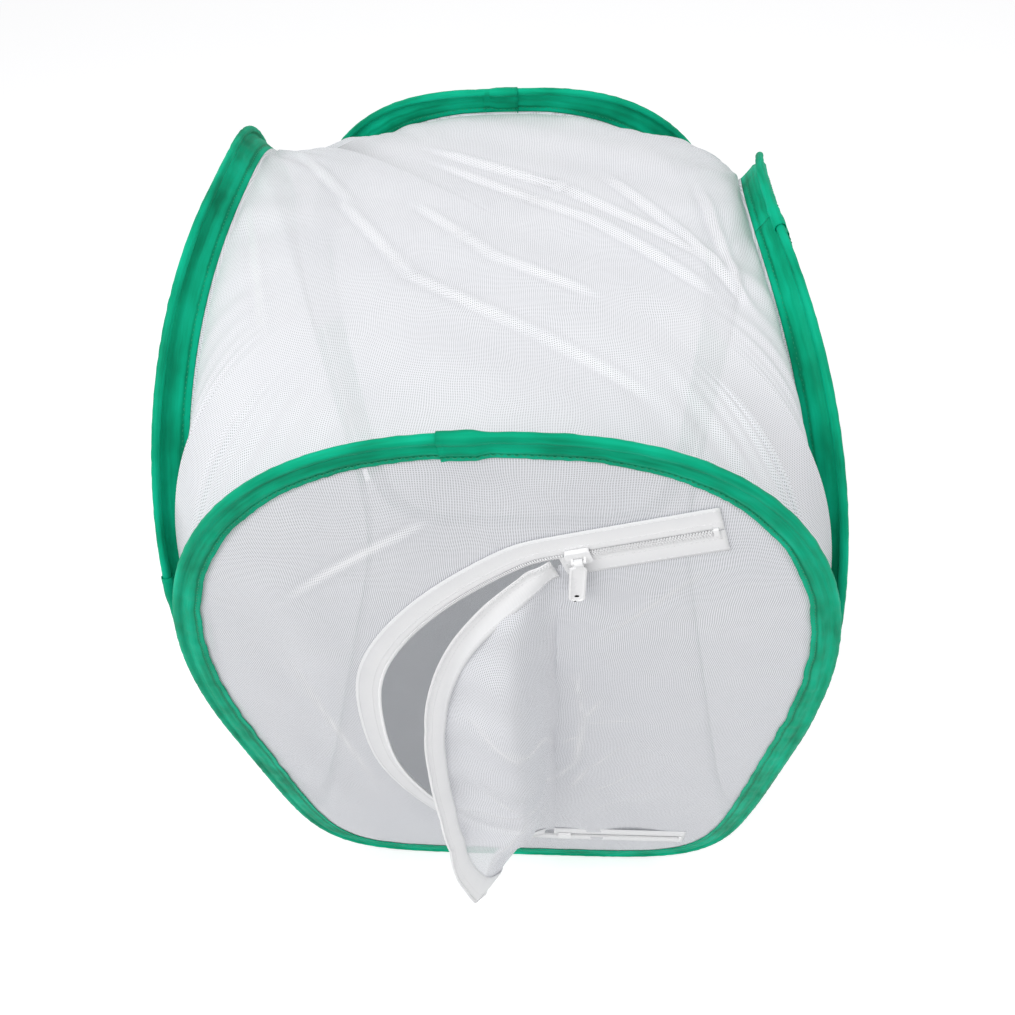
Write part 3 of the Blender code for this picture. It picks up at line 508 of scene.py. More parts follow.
# Painted shade: the pressed groove beside the stitches is darkened.
groove_shade = ranged(tree, off_groove, 0, GROOVE_WIDTH, GROOVE_SHADE, 0, soft=True)
# Painted highlight: the lip is lightened from the groove out to its edge.
edge = ranged(tree, from_crown, groove_place, STRIP_HALF, 0, EDGE_HIGHLIGHT)
mixed = reckon(tree, "MULTIPLY_ADD", sheen, 0.40, reckon(tree, "MULTIPLY", broad, 0.60))
tone = reckon(tree, "ADD", reckon(tree, "SUBTRACT", mixed, groove_shade), edge)
# The ramp's dark and bright greens carry the painted shade, sheen and highlight, with random
# patches.
ramp = node(tree, "ShaderNodeValToRGB", {"Fac": tone})
stops = ramp.color_ramp.elements
for stop, place, colour in ((stops[0], 0.30, SATIN_DARK), (stops[1], 0.72, SATIN_BRIGHT)):
    stop.position = place
    stop.color = colour
stops.new(0.50).color = SATIN_MIDDLE
weft = place_group(tree, threads, {"Weave": weave, "Across": 0.00045, "Along": 0.0011})
pile = reckon(tree, "MULTIPLY_ADD", sheen, 1.4, weft["Height"])
dress(tree, shader, ramp.outputs["Color"], (0.35, 0.00010, pile),
      {"Roughness": reckon(tree, "MULTIPLY_ADD", weft["Tone"], 0.16, 0.50),
       "Specular IOR Level": 0.08, "Anisotropic": 0.35})

bindings = {}
for side in SIDES:
    whole = hoop_from(side, side.join, side.join + 2 * math.pi, 10).length
    lap_turn = 2 * math.pi * JOIN_LAP / whole * LAP_ALLOWANCE
    hoop = hoop_from(side, side.join, side.join + 2 * math.pi + lap_turn, BINDING_ROWS * 3)

    def fold_law(shares_across, shares_along, hoop=hoop):
        reach = (2 * shares_across - 1) * STRIP_HALF
        points = on_binding(hoop, reach, shares_along)
        return points, np.stack([reach + STRIP_HALF, shares_along * hoop.length], axis=-1)

    ribbon = sheet_from(f"{side.name}_ribbon", BINDING_COLUMNS, BINDING_ROWS, fold_law, satin,
                        SATIN_WALL)
    settle(ribbon, "cage", f"{side.name}_binding")
    bindings[side.name] = (hoop, ribbon)


# The binding's stitches: one row of green thread through both lips, which shows as a line of short
# raised dashes near the edge of the outer lip and again on the inner one.
STITCH_INSET = 0.0030
STITCH_LENGTH = 0.0031
STITCH_RADIUS = 0.00021
STITCH_DIP = 0.00030
STITCH_STATIONS = 5
STITCH_SIDES = 5
STITCH_STEP = 2e-4
STITCH_WEAVE = 0.003
ROUND_THREAD = 6.3
GREEN_THREAD = (0.004, 0.360, 0.185, 1)
THREAD_TWIST = 700


def thread_law(route, count, radius, dip):
    """A law for a row of stitches. The route gives points on a cloth at shares and heights."""
    def law(shares_round, shares_along):
        turn = 2 * math.pi * shares_round
        beat = np.clip(1.5 * np.cos(2 * math.pi * shares_along * count), -1, 1)
        middle = route(shares_along, dip * beat)
        ahead_of = route(np.clip(shares_along + STITCH_STEP, 0, 1), dip * beat)
        behind = route(np.clip(shares_along - STITCH_STEP, 0, 1), dip * beat)
        above = route(shares_along, dip * beat + radius)
        up = above - middle
        up = up / np.linalg.norm(up, axis=1, keepdims=True)
        run = ahead_of - behind
        beside_it = np.cross(run, up)
        beside_it = beside_it / np.linalg.norm(beside_it, axis=1, keepdims=True)
        points = middle + radius * (np.sin(turn)[:, None] * up + np.cos(turn)[:, None] * beside_it)
        weave = [shares_round * ROUND_THREAD * radius, shares_along * count * STITCH_WEAVE]
        return points, np.stack(weave, axis=-1)
    return law


def darker(colour, share):
    """A colour with this share of its light."""
    return tuple(share * part for part in colour[:3]) + (1,)


def thread_material(name, colour, twist):
    """Sewing thread: a soft sheen and the twist of its yarns as slanting ridges."""
    material, tree, shader = new_material(name)
    place = node(tree, "ShaderNodeTexCoord").outputs["Object"]
    ridges = node(tree, "ShaderNodeTexWave", {"Vector": place, "Scale": twist, "Distortion": 2.0},
                  bands_direction="DIAGONAL").outputs["Fac"]
    fuzz = noise(tree, place, 2500)
    shade = blend_colours(tree, reckon(tree, "MULTIPLY", ridges, 0.35), colour,
                          darker(colour, 0.55))
    height = reckon(tree, "MULTIPLY_ADD", fuzz, 0.4, ridges)
    dress(tree, shader, shade, (0.5, 0.00006, height), {"Roughness": 0.5})
    return material


green_thread = thread_material("green_thread", GREEN_THREAD, THREAD_TWIST)
for side in SIDES:
    hoop, ribbon = bindings[side.name]
    for label, way in (("outer", -1), ("inner", 1)):
        def lip_route(shares, heights, hoop=hoop, way=way):
            reach = np.full_like(shares, way * (STRIP_HALF - STITCH_INSET))
            return on_binding(hoop, reach, np.clip(shares, 0, 1), heights + SATIN_WALL / 2)

        count = round(hoop.length / STITCH_LENGTH)
        law = thread_law(lip_route, count, STITCH_RADIUS, STITCH_DIP)
        row = sheet_from(f"{side.name}_{label}_stitches", STITCH_SIDES, count * STITCH_STATIONS,
                         law, green_thread, closed=True)
        settle(row, "cage")


# The wires, their crimped ferrules and the corner seams lie inside the bindings or between them:
# drawn spring steel, plated tube, and the same green thread as the stitches.
def metal_material(name, colour, roughness, grain):
    """Drawn or plated metal, with fine lines and a few duller patches."""
    material, tree, shader = new_material(name)
    place = node(tree, "ShaderNodeTexCoord").outputs["Object"]
    lines = noise(tree, place, grain, detail=4)
    dull = noise(tree, place, 60)
    brushed = reckon(tree, "MULTIPLY_ADD", lines, 0.12, roughness)
    dress(tree, shader, blend_colours(tree, dull, colour, darker(colour, 0.8)),
          (0.2, 0.00005, lines),
          {"Roughness": reckon(tree, "MULTIPLY_ADD", dull, 0.2, brushed), "Metallic": 1})
    return material


SPRING_GREY = (0.42, 0.42, 0.43, 1)
PLATED_GREY = (0.60, 0.60, 0.61, 1)
spring_steel = metal_material("spring_steel", SPRING_GREY, 0.25, 1800)
crimped_steel = metal_material("crimped_steel", PLATED_GREY, 0.28, 900)
for side in SIDES:
    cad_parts[f"{side.name}_wire"].material_slots[0].material = spring_steel
    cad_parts[f"{side.name}_ferrule"].material_slots[0].material = crimped_steel
for corner in ("front_left", "front_right", "back_right", "back_left"):
    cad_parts[f"{corner}_seam"].material_slots[0].material = green_thread


# The netting: fine white polyester mesh. Four side panels are drawn flat in their hoops, with soft
# folds where the tension is uneven. The front one has the door's hole cut in it.
NET_COLUMNS = 84
NET_ROWS = 150
NET_PITCH = 0.00105
NET_THREAD = 0.44
NET_VEIL = 0.44
NET_SOLID = 0.97
NET_DRIFT = 0.004
NET_THREAD_SOFTNESS = 0.06
NET_TUCK = 0.004
NET_END = 0.0004
PANEL_STEPS = 1200
NET_WHITE = (0.860, 0.868, 0.900, 1)
NET_SHADE = (0.790, 0.800, 0.840, 1)
# Painted highlight: the white that gathered creases take, brighter than the threads
NET_GATHER_HIGHLIGHT = (0.970, 0.970, 0.985, 1)
SIDE_FOLD_HEIGHT = 0.0016
SIDE_FOLD_SPACING = 0.11
SIDE_FOLD_WAY = (0.8, 0.35)
SIDE_FOLD_SKEW = 1.5
PANEL_CALM = (0.004, 0.05)

mesh_group, given, wanted = new_group(
    "net_threads",
    (("Weave", "NodeSocketVector", None), ("Pitch", "NodeSocketFloat", 0.001),
     ("Thread", "NodeSocketFloat", 0.4)),
    (("Mask", "NodeSocketFloat"), ("Height", "NodeSocketFloat"), ("Tone", "NodeSocketFloat")),
)
drawn = node(mesh_group, "ShaderNodeTexNoise", {"Vector": given["Weave"], "Scale": 30, "Detail": 1},
             noise_dimensions="2D")
drift = node(mesh_group, "ShaderNodeVectorMath", {0: drawn.outputs["Color"], 3: NET_DRIFT},
             operation="SCALE")
moved = node(mesh_group, "ShaderNodeVectorMath", {0: given["Weave"], 1: drift.outputs[0]})
count_of = reckon(mesh_group, "DIVIDE", 1, given["Pitch"])
meshes = node(mesh_group, "ShaderNodeVectorMath", {0: moved.outputs[0], 3: count_of},
              operation="SCALE")
cell = node(mesh_group, "ShaderNodeVectorMath", {0: meshes.outputs[0]}, operation="FRACTION")
centred = node(mesh_group, "ShaderNodeVectorMath", {0: cell.outputs[0], 1: (0.5, 0.5, 0)},
               operation="SUBTRACT")
folded = node(mesh_group, "ShaderNodeVectorMath", {0: centred.outputs[0]}, operation="ABSOLUTE")
apart = node(mesh_group, "ShaderNodeSeparateXYZ", {0: folded.outputs[0]}).outputs
nearest = reckon(mesh_group, "MAXIMUM", apart["X"], apart["Y"])
edge = reckon(mesh_group, "MULTIPLY_ADD", given["Thread"], -0.5, 0.5)
mask = ranged(mesh_group, nearest, reckon(mesh_group, "SUBTRACT", edge, NET_THREAD_SOFTNESS),
              reckon(mesh_group, "ADD", edge, NET_THREAD_SOFTNESS), 0, 1, soft=True)
mesh_group.links.new(mask, wanted["Mask"])
mesh_group.links.new(nearest, wanted["Height"])
mesh_group.links.new(drawn.outputs["Fac"], wanted["Tone"])


def netting_material(name, pitch, thread, veil):
    """Fine netting: white threads with gaps that the light passes through. Along gathered creases
    it is more opaque, and painted whiter than its threads as a painted highlight.
    """
    material, tree, shader = new_material(name)
    weave = node(tree, "ShaderNodeUVMap", uv_map="weave").outputs[0]
    net = place_group(tree, mesh_group, {"Weave": weave, "Pitch": pitch, "Thread": thread})
    alpha = ranged(tree, net["Mask"], 0, 1, veil, NET_SOLID)
    bunching_and_highlight = node(tree, "ShaderNodeAttribute", attribute_name="gather").outputs["Fac"]
    broad = noise(tree, weave, 14, detail=3, flat=True)
    blend = reckon(tree, "MULTIPLY_ADD", net["Mask"], -0.45, reckon(tree, "ADD", broad, 0.25))
    # Painted highlight: along the gathered creases the colour goes to a white brighter than the
    # threads.
    shade = blend_colours(tree, bunching_and_highlight, blend_colours(tree, blend, NET_WHITE, NET_SHADE),
                          NET_GATHER_HIGHLIGHT)
    dress(tree, shader, shade, (0.3, 0.00012, net["Height"]),
          {"Alpha": reckon(tree, "MAXIMUM", alpha, bunching_and_highlight), "Roughness": 0.75,
           "Specular IOR Level": 0.25, "Sheen Weight": 0.15})
    return material


def within(outline, places):
    """Which places lie inside a closed outline."""
    inside = np.zeros(len(places), bool)
    for start, end in zip(outline, np.roll(outline, -1, axis=0)):
        spans = (start[1] > places[:, 1]) != (end[1] > places[:, 1])
        rise = end[1] - start[1]
        crossing = start[0] + (places[:, 1] - start[1]) * (end[0] - start[0]) / (rise or 1)
        inside ^= spans & (places[:, 0] < crossing)
    return inside


def nearest_on(outline, places, closed=True):
    """The nearest place on a path to each place, and how far off it is."""
    best = np.full(len(places), np.inf)
    found = places.copy()
    ends = np.roll(outline, -1, axis=0) if closed else outline[1:]
    for start, end in zip(outline, ends):
        run = end - start
        share = np.clip((places - start) @ run / max(run @ run, 1e-12), 0, 1)
        foot = start + share[:, None] * run
        gap = np.linalg.norm(places - foot, axis=1)
        closer = gap < best
        best[closer] = gap[closer]
        found[closer] = foot[closer]
    return found, best


side_netting = netting_material("white_netting", NET_PITCH, NET_THREAD, NET_VEIL)


def panel_law(side, lift, cut=None, cell=0.0):
    """A law for a side panel: rows at even heights, each from hem to hem, with soft folds."""
    hoop = hoop_from(side, -math.pi / 2, 3 * math.pi / 2, 2 * PANEL_STEPS)
    under_lips = np.full(2 * PANEL_STEPS + 1, HEM_EDGE - NET_TUCK)
    hem = hem_places(side, hoop.places, hoop.inward, under_lips)
    right = hem[:PANEL_STEPS + 1]
    left = hem[PANEL_STEPS:][::-1]
    low, high = hem[:, 1].min() + NET_END, hem[:, 1].max() - NET_END

    def law(shares_across, shares_up):
        share = 0.5 * shares_up + 0.25 * (1 - np.cos(math.pi * shares_up))
        up = low + (high - low) * share
        start = np.interp(up, left[:, 1], left[:, 0])
        end = np.interp(up, right[:, 1], right[:, 0])
        places = np.stack([start + (end - start) * shares_across, up], axis=-1)
        if cut is not None:
            foot, gap = nearest_on(cut, places)
            near = gap < cell
            places[near] = foot[near]
        rim = np.minimum(shares_across, 1 - shares_across) * (end - start)
        inner = smooth_step(*PANEL_CALM, np.minimum(rim, np.minimum(up - low, high - up) * 2))
        return on_panel(side, places, lift(places) * inner), places
    return law, hem


def side_folds(seed):
    """Soft folds for a side panel, leaning with the pull of its hoop."""
    def lift(places):
        tilted = places[:, 0] * SIDE_FOLD_WAY[0] + places[:, 1] * SIDE_FOLD_WAY[1]
        folds = waves(places[:, 1], tilted, SIDE_FOLD_SPACING, seed, SIDE_FOLD_SKEW)
        return SIDE_FOLD_HEIGHT * folds
    return lift


for side in (RIGHT, BACK, LEFT):
    law, hem = panel_law(side, side_folds(len(side.name) + 40))
    net = sheet_from(f"{side.name}_netting", NET_COLUMNS, NET_ROWS, law, side_netting)
    settle(net, "cage", f"{side.name}_net")


# The zip's run: closed for a short way above and below the door, and open round its D-shaped edge.
# It is set out flat on the front, from the upper end to the lower one.
DOOR_HINGE_X = 0.032
DOOR_WIDTH = 0.116
DOOR_BOTTOM = 0.075
DOOR_TOP = 0.5357
DOOR_HEIGHT = DOOR_TOP - DOOR_BOTTOM
DOOR_STAND_OFF = 0.0009
NET_EDGE = 0.008
SLIT_END = 0.004
TAPE_CLOTH = 0.0005
TAPE_INNER_EDGE = 0.0005
TAPE_OUTER_EDGE = 0.0165
COIL_INNER_EDGE = 0.00015
COIL_OUTER_EDGE = 0.0026
COIL_HEIGHT = 0.0011
LIP_INSIDE = NET_CLOTH / 2 + LAYER_GAP
TAPE_LEVEL = LIP_INSIDE + TAPE_CLOTH / 2
COIL_BOTTOM = LIP_INSIDE + TAPE_CLOTH + LAYER_GAP
ROUNDING_PASSES = 4
DOOR_OUTLINE_SHARES = (
    (0, 1), (0.112, 0.990), (0.323, 0.942), (0.517, 0.888), (0.716, 0.814), (0.871, 0.729),
    (0.950, 0.634), (1.000, 0.484), (0.990, 0.371), (0.900, 0.260), (0.790, 0.174), (0.660, 0.102),
    (0.480, 0.041), (0.250, 0.009), (0, 0),
)
Chain = namedtuple("Chain", "name height slope away length")
UPPER = Chain("upper", DOOR_TOP, math.radians(17.7), 1, 0.076)
LOWER = Chain("lower", DOOR_BOTTOM, 0, -1, 0.118)


def door_cut():
    """Places along the door's cut, from its upper to its lower end."""
    corners = np.array(DOOR_OUTLINE_SHARES) * (-DOOR_WIDTH, DOOR_HEIGHT)
    corners = corners + (DOOR_HINGE_X, DOOR_BOTTOM)
    for _ in range(ROUNDING_PASSES):
        cuts = np.stack([corners[:-1] * 0.75 + corners[1:] * 0.25,
                         corners[:-1] * 0.25 + corners[1:] * 0.75], axis=1)
        corners = np.concatenate([corners[:1], cuts.reshape(-1, 2)[1:-1], corners[-1:]])
    return corners


def chain_places(chain, along, across):
    """Places along a closed chain, and across it to its frame side."""
    cosine = math.cos(chain.slope)
    sine = math.sin(chain.slope)
    x = DOOR_HINGE_X + along * cosine - chain.away * across * sine
    return np.stack([x, chain.height + along * sine + chain.away * across * cosine], axis=-1)


def zip_path(upper_reach, lower_reach):
    """The door's cut with the closed chains at its ends."""
    upper = chain_places(UPPER, np.array([upper_reach]), 0)
    lower = chain_places(LOWER, np.array([lower_reach]), 0)
    return np.concatenate([upper, door_cut(), lower])


def beside(path, distance):
    """The places this far to the frame side of a path."""
    steps = np.diff(path, axis=0)
    normals = np.stack([steps[:, 1], -steps[:, 0]], axis=-1)
    normals = normals / np.linalg.norm(normals, axis=1, keepdims=True)
    before = np.concatenate([normals[:1], normals])
    after = np.concatenate([normals, normals[-1:]])
    miter = (before + after) / (1 + np.sum(before * after, axis=1, keepdims=True))
    return path + distance * miter


def along_path(path, shares):
    """Places at these shares of a path's length."""
    travelled = np.concatenate([[0], np.cumsum(np.linalg.norm(np.diff(path, axis=0), axis=1))])
    along = shares * travelled[-1]
    return np.stack([np.interp(along, travelled, part) for part in path.T], axis=-1)


def path_length(path):
    """The length of a path."""
    return float(np.sum(np.linalg.norm(np.diff(path, axis=0), axis=1)))


def flat_front(places, outward):
    """Points on the flat front at these places, this far outward."""
    depth = -PANEL_PLANE - outward + 0 * places[..., 0]
    return np.stack([places[..., 0], depth, places[..., 1]], axis=-1)


# The front netting: as the other panels, with the door's hole, and narrow slots behind the closed
# chains. Creases run from the door's bend to the right, and the netting gathers along them, more
# opaque there and painted whiter than its threads: a painted highlight.
# In each crease: its start, its end and its height, all on the flat front.
FRONT_FOLD_HEIGHT = 0.0011
FRONT_FOLD_SPACING = 0.085
FRONT_FOLD_TILT = 0.3
FRONT_FOLD_SEED = 51
FRONT_FOLD_SKEW = 1.6
FRONT_CALM = (0.018, 0.06)
FRONT_CELL = 0.0017
SLOT_END = 0.0005
CREASE_FADE = (-0.25, 0.2)
CREASE_GAIN = 1.6
GATHER_WIDTH = 0.0022
GATHERED_MOST = 0.75
GATHERED_ENDS = 0.4
CREASE_SPREAD = 0.0034
FRONT_CREASES = (
    ((0.034, 0.221), (0.048, 0.268), 0.0014), ((0.048, 0.268), (0.051, 0.341), 0.0014),
    ((0.051, 0.341), (0.060, 0.373), 0.0010), ((0.046, 0.202), (0.056, 0.252), 0.0014),
    ((0.056, 0.252), (0.077, 0.286), 0.0012), ((0.044, 0.411), (0.047, 0.376), 0.0010),
    ((0.047, 0.376), (0.051, 0.341), 0.0012), ((0.054, 0.334), (0.083, 0.339), 0.0008),
    ((0.038, 0.303), (0.050, 0.318), 0.0010), ((0.057, 0.186), (0.095, 0.248), 0.0010),
    ((0.063, 0.140), (0.114, 0.208), 0.0010), ((-0.110, 0.200), (-0.125, 0.420), 0.0008),
    ((-0.030, 0.560), (-0.100, 0.500), 0.0008), ((0.056, 0.453), (0.100, 0.520), 0.0008),
)
FRONT_COLUMNS = 136
FRONT_ROWS = 220

slit = beside(zip_path(UPPER.length - SLIT_END, LOWER.length - SLIT_END), NET_EDGE)
hole = [*slit]
for chain, order in ((LOWER, 1), (UPPER, -1)):
    hinge = (SLOT_END - NET_EDGE * math.sin(chain.slope)) / math.cos(chain.slope)
    ends = [chain_places(chain, np.float64(reach), -NET_EDGE)
            for reach in (chain.length - SLIT_END, hinge)]
    hole += ends[::order]
hole = np.array(hole)
zip_line = zip_path(UPPER.length, LOWER.length)


def creased(places, creases, spread):
    """Heights of straight creases: a ridge beside a hollow, fading towards both ends."""
    total = np.zeros(len(places))
    for start, end, height in creases:
        start = np.array(start)
        run = np.array(end) - start
        length = np.linalg.norm(run)
        share = (places - start) @ run / length**2
        side_gap = ((places - start) @ np.array([-run[1], run[0]])) / length / spread
        fade = smooth_step(*CREASE_FADE, share) * smooth_step(*CREASE_FADE, 1 - share)
        total += height * fade * CREASE_GAIN * side_gap * np.exp(-side_gap**2)
    return total


def gathered(places, creases, spread):
    """How bunched up cloth is along its creases, from 0 to 1."""
    total = np.zeros(len(places))
    for start, end, _ in creases:
        foot, gap = nearest_on(np.array([start, end]), places, closed=False)
        share = np.linalg.norm(foot - start, axis=1) / np.linalg.norm(np.subtract(end, start))
        fade = GATHERED_ENDS + (1 - GATHERED_ENDS) * np.sin(math.pi * share)
        total = np.maximum(total, fade * np.exp(-((gap / spread) ** 2)))
    return total


def front_folds(places):
    """Folds of the front panel, which die out towards the zip."""
    _, gap = nearest_on(zip_line[::4], places, closed=False)
    calm = smooth_step(*FRONT_CALM, gap)
    tilted = places[:, 0] + FRONT_FOLD_TILT * places[:, 1]
    folds = waves(places[:, 1], tilted, FRONT_FOLD_SPACING, FRONT_FOLD_SEED, FRONT_FOLD_SKEW)
    return calm * (FRONT_FOLD_HEIGHT * folds + creased(places, FRONT_CREASES, CREASE_SPREAD))


law, hem = panel_law(FRONT, front_folds, hole, FRONT_CELL)
front_netting = sheet_from("front_netting", FRONT_COLUMNS, FRONT_ROWS, law, side_netting, cut=hole,
                           gather=lambda points, weave: GATHERED_MOST * gathered(
                               points[:, (0, 2)], FRONT_CREASES, GATHER_WIDTH))
settle(front_netting, "cage", "front_net")


# The top netting: one square cut, sewn to the four bindings and drawn up and in between them. It
# is loose, so long creases run over it from the back left down to the front right.
COVER_LAP = 0.0008
COVER_LEAD = 0.0012
RIM_HOLD = 8
LAP_SHARE = 0.02
RING_EXPONENT = 1.35
STEEP_SHARES = (0.75, 1)
COVER_GAP = BINDING_CLOTH / 2 + LAYER_GAP + NET_CLOTH / 2
TOP_ANGLE = 2 * math.pi / 44
TOP_STATIONS = 110
TOP_RINGS = 110
TOP_FOLD_HEIGHT = 0.0010
TOP_GATHERED_MOST = 0.45
TOP_THREAD = NET_THREAD + 0.04
TOP_VEIL = NET_VEIL + 0.10
TOP_FOLD_SPACING = 0.06
TOP_FOLD_WAY = (0.55, 0.83)
TOP_FOLD_SEED = 91
TOP_FOLD_SKEW = 2.5
TOP_FOLDS_END = (0.86, 0.99)
RIM_LENGTH = 2.4
RIM_PUCKER_HEIGHT = 0.0011
RIM_PUCKER_SPACING = 0.034
RIM_PUCKER_SEED = 92
RIM_PUCKERS_START = (0.55, 0.9)
RIM_PUCKERS_END = (0.93, 1.0)
TOP_CREASES = (
    ((-0.040, 0.078), (0.038, 0.032), 0.0022), ((0.038, 0.032), (0.111, -0.033), 0.0024),
    ((-0.035, 0.059), (0.052, -0.003), 0.0018), ((0.052, -0.003), (0.108, -0.059), 0.0022),
    ((-0.046, 0.010), (-0.002, -0.039), 0.0016), ((-0.002, -0.039), (0.047, -0.070), 0.0016),
    ((-0.095, 0.017), (-0.045, -0.056), 0.0018), ((-0.045, -0.056), (0.021, -0.104), 0.0020),
    ((0.021, -0.104), (0.070, -0.142), 0.0018), ((-0.138, 0.088), (-0.093, 0.022), 0.0018),
    ((0.065, 0.044), (0.100, -0.009), 0.0024), ((0.100, -0.009), (0.131, -0.063), 0.0026),
    ((0.118, 0.030), (0.128, -0.060), 0.0020), ((-0.150, 0.010), (-0.120, -0.090), 0.0016),
)


def cover_rim(exponent, first, last, count):
    """A cover's rim on the bindings' inner lips, twice, and where it would be if the lips lay flat,
    with the shares across and back there."""
    loops = []
    for side in SIDES:
        hoop = hoop_from(side, min(first, last), max(first, last), count)
        order = slice(None, None, -1 if first > last else 1)
        opened = splay_at(side, hoop.places[:, 1])
        rims = []
        for lap in (-COVER_LAP, COVER_LEAD):
            past = side.inner_lip - FOLD_END + lap
            distance = FOLD_END + past * np.cos(opened) - COVER_GAP * np.sin(opened)
            hemmed = hem_places(side, hoop.places, hoop.inward, distance)
            level = LIP_LEVEL + past * np.sin(opened) + COVER_GAP * np.cos(opened)
            rims.append(on_panel(side, hemmed, -level)[order])
        hemmed = hem_places(side, hoop.places, hoop.inward, side.inner_lip + COVER_LEAD)
        rims.append(on_panel(side, hemmed, -LIP_LEVEL - COVER_GAP)[order])
        cosine = np.cos(hoop.angles)
        width = (np.sign(cosine) * np.abs(cosine) ** (2 / exponent))[order]
        flat = np.stack([width, -1 + 0 * width, 0 * width], axis=-1)
        turned = flat @ np.array(Matrix.Rotation(side.turn, 3, "Z")).T
        loops.append(np.concatenate(rims + [turned[:, :2]], axis=1))
    table = np.concatenate(loops)
    return np.concatenate([table, table[:1]])


def top_height(across, back):
    """Height of the top netting at these shares of the cage's half width and half depth."""
    weights = ((1 - across**2) * (1 - back), (1 - back**2) * (1 + across),
               (1 - across**2) * (1 + back), (1 - back**2) * (1 - across))
    crown = sum(weight * side.height for weight, side in zip(weights, SIDES))
    crown = crown / (sum(weights) + 1e-9)
    arch = np.clip(1 - np.abs(across * back) ** UPPER_EXPONENT, 0, 1) ** (1 / UPPER_EXPONENT)
    return WIDEST_HEIGHT + (crown - HEM_WIDTH - WIDEST_HEIGHT) * arch


def cover_law(table, height, lift):
    """A law for a cover: round its rim, and in from the lips to its middle."""
    stations = np.linspace(0, 1, len(table))
    middle = table[:-1, 6:9].mean(axis=0)
    middle[2] = height(np.zeros(1), np.zeros(1))[0]

    def law(shares_round, shares_in):
        row = np.stack([np.interp(shares_round, stations, column) for column in table.T], axis=-1)
        outer, edge, plain = row[:, :3], row[:, 3:6], row[:, 6:9]
        across, back = row[:, 9], row[:, 10]
        lapped = np.clip(1 - shares_in / LAP_SHARE, 0, 1)[:, None]
        share = 1 - np.clip((shares_in - LAP_SHARE) / (1 - LAP_SHARE), 0, 1) ** RING_EXPONENT
        pulled = (share**RIM_HOLD)[:, None] * (edge - plain)
        points = middle + share[:, None] * (plain - middle) + pulled
        level = height(share * across, share * back)
        points[:, 2] = level + (edge[:, 2] - height(across, back)) * share**RIM_HOLD
        points[:, 2] += lift(points, share, shares_round)
        points = points + lapped * (outer - edge)
        reach = points - middle
        spread = np.linalg.norm(reach[:, :2], axis=1)
        fall = np.hypot(spread, reach[:, 2] * smooth_step(*STEEP_SHARES, share))
        weave = reach[:, :2] / np.maximum(spread, 1e-9)[:, None] * fall[:, None]
        return points, weave
    return law


def top_folds(points, share, shares_round):
    """The top netting's creases, its soft folds, and its puckers at the rim."""
    flat = points[:, :2]
    inner = 1 - smooth_step(*TOP_FOLDS_END, share)
    tilted = TOP_FOLD_WAY[0] * flat[:, 0] + TOP_FOLD_WAY[1] * flat[:, 1]
    soft = TOP_FOLD_HEIGHT * waves(flat[:, 0] - flat[:, 1], tilted, TOP_FOLD_SPACING,
                                   TOP_FOLD_SEED, TOP_FOLD_SKEW)
    pucker = RIM_PUCKER_HEIGHT * waves(0 * share, shares_round * RIM_LENGTH, RIM_PUCKER_SPACING,
                                       RIM_PUCKER_SEED)
    rim = smooth_step(*RIM_PUCKERS_START, share) * (1 - smooth_step(*RIM_PUCKERS_END, share))
    return inner * (soft + creased(flat, TOP_CREASES, CREASE_SPREAD)) + rim * pucker


top_netting_material = netting_material("top_netting", NET_PITCH, TOP_THREAD, TOP_VEIL)
top_table = cover_rim(UPPER_EXPONENT, math.pi - TOP_ANGLE, TOP_ANGLE, TOP_STATIONS)
top_netting = sheet_from("top_netting", len(top_table) - 1, TOP_RINGS,
                         cover_law(top_table, top_height, top_folds), top_netting_material,
                         gather=lambda points, weave: TOP_GATHERED_MOST * gathered(
                             points[:, :2], TOP_CREASES, GATHER_WIDTH))
settle(top_netting, "cage", "top_net")


# The base netting: a square with its four corners drawn up to the hoops. It lies flat on what the
# cage stands on, and is sewn to the bindings along the bottom.
BASE_ANGLE_STEP = 2
BASE_FLAT_SHARE = 0.42
BASE_STATIONS = 60
BASE_RINGS = 40
BASE_FOLD_HEIGHT = 0.0006
BASE_FOLD_SPACING = 0.07
BASE_FOLD_SEED = 93
BASE_FOLD_SKEW = 1.5
BASE_FOLDS_END = (0.8, 0.97)


def base_height(across, back):
    """Height of the base netting: flat on the floor, turned up towards its four corners."""
    corner = np.clip((np.abs(across * back) - BASE_FLAT_SHARE) / (1 - BASE_FLAT_SHARE), 0, 1)
    arch = np.clip(1 - corner**LOWER_EXPONENT, 0, 1) ** (1 / LOWER_EXPONENT)
    return WIDEST_HEIGHT - (WIDEST_HEIGHT - NET_CLOTH / 2) * arch


def base_folds(points, share, shares_round):
    """Slight folds in the base, never below what it lies on."""
    flat = points[:, :2]
    inner = 1 - smooth_step(*BASE_FOLDS_END, share)
    folds = waves(flat[:, 0], flat[:, 1], BASE_FOLD_SPACING, BASE_FOLD_SEED, BASE_FOLD_SKEW)
    return inner * BASE_FOLD_HEIGHT * (1 + folds)


base_first = math.pi + BASE_ANGLE_STEP * TOP_ANGLE
base_table = cover_rim(LOWER_EXPONENT, base_first, 3 * math.pi - base_first, BASE_STATIONS)
base_netting = sheet_from("base_netting", len(base_table) - 1, BASE_RINGS,
                          cover_law(base_table, base_height, base_folds), side_netting)
settle(base_netting, "cage", "base_net")


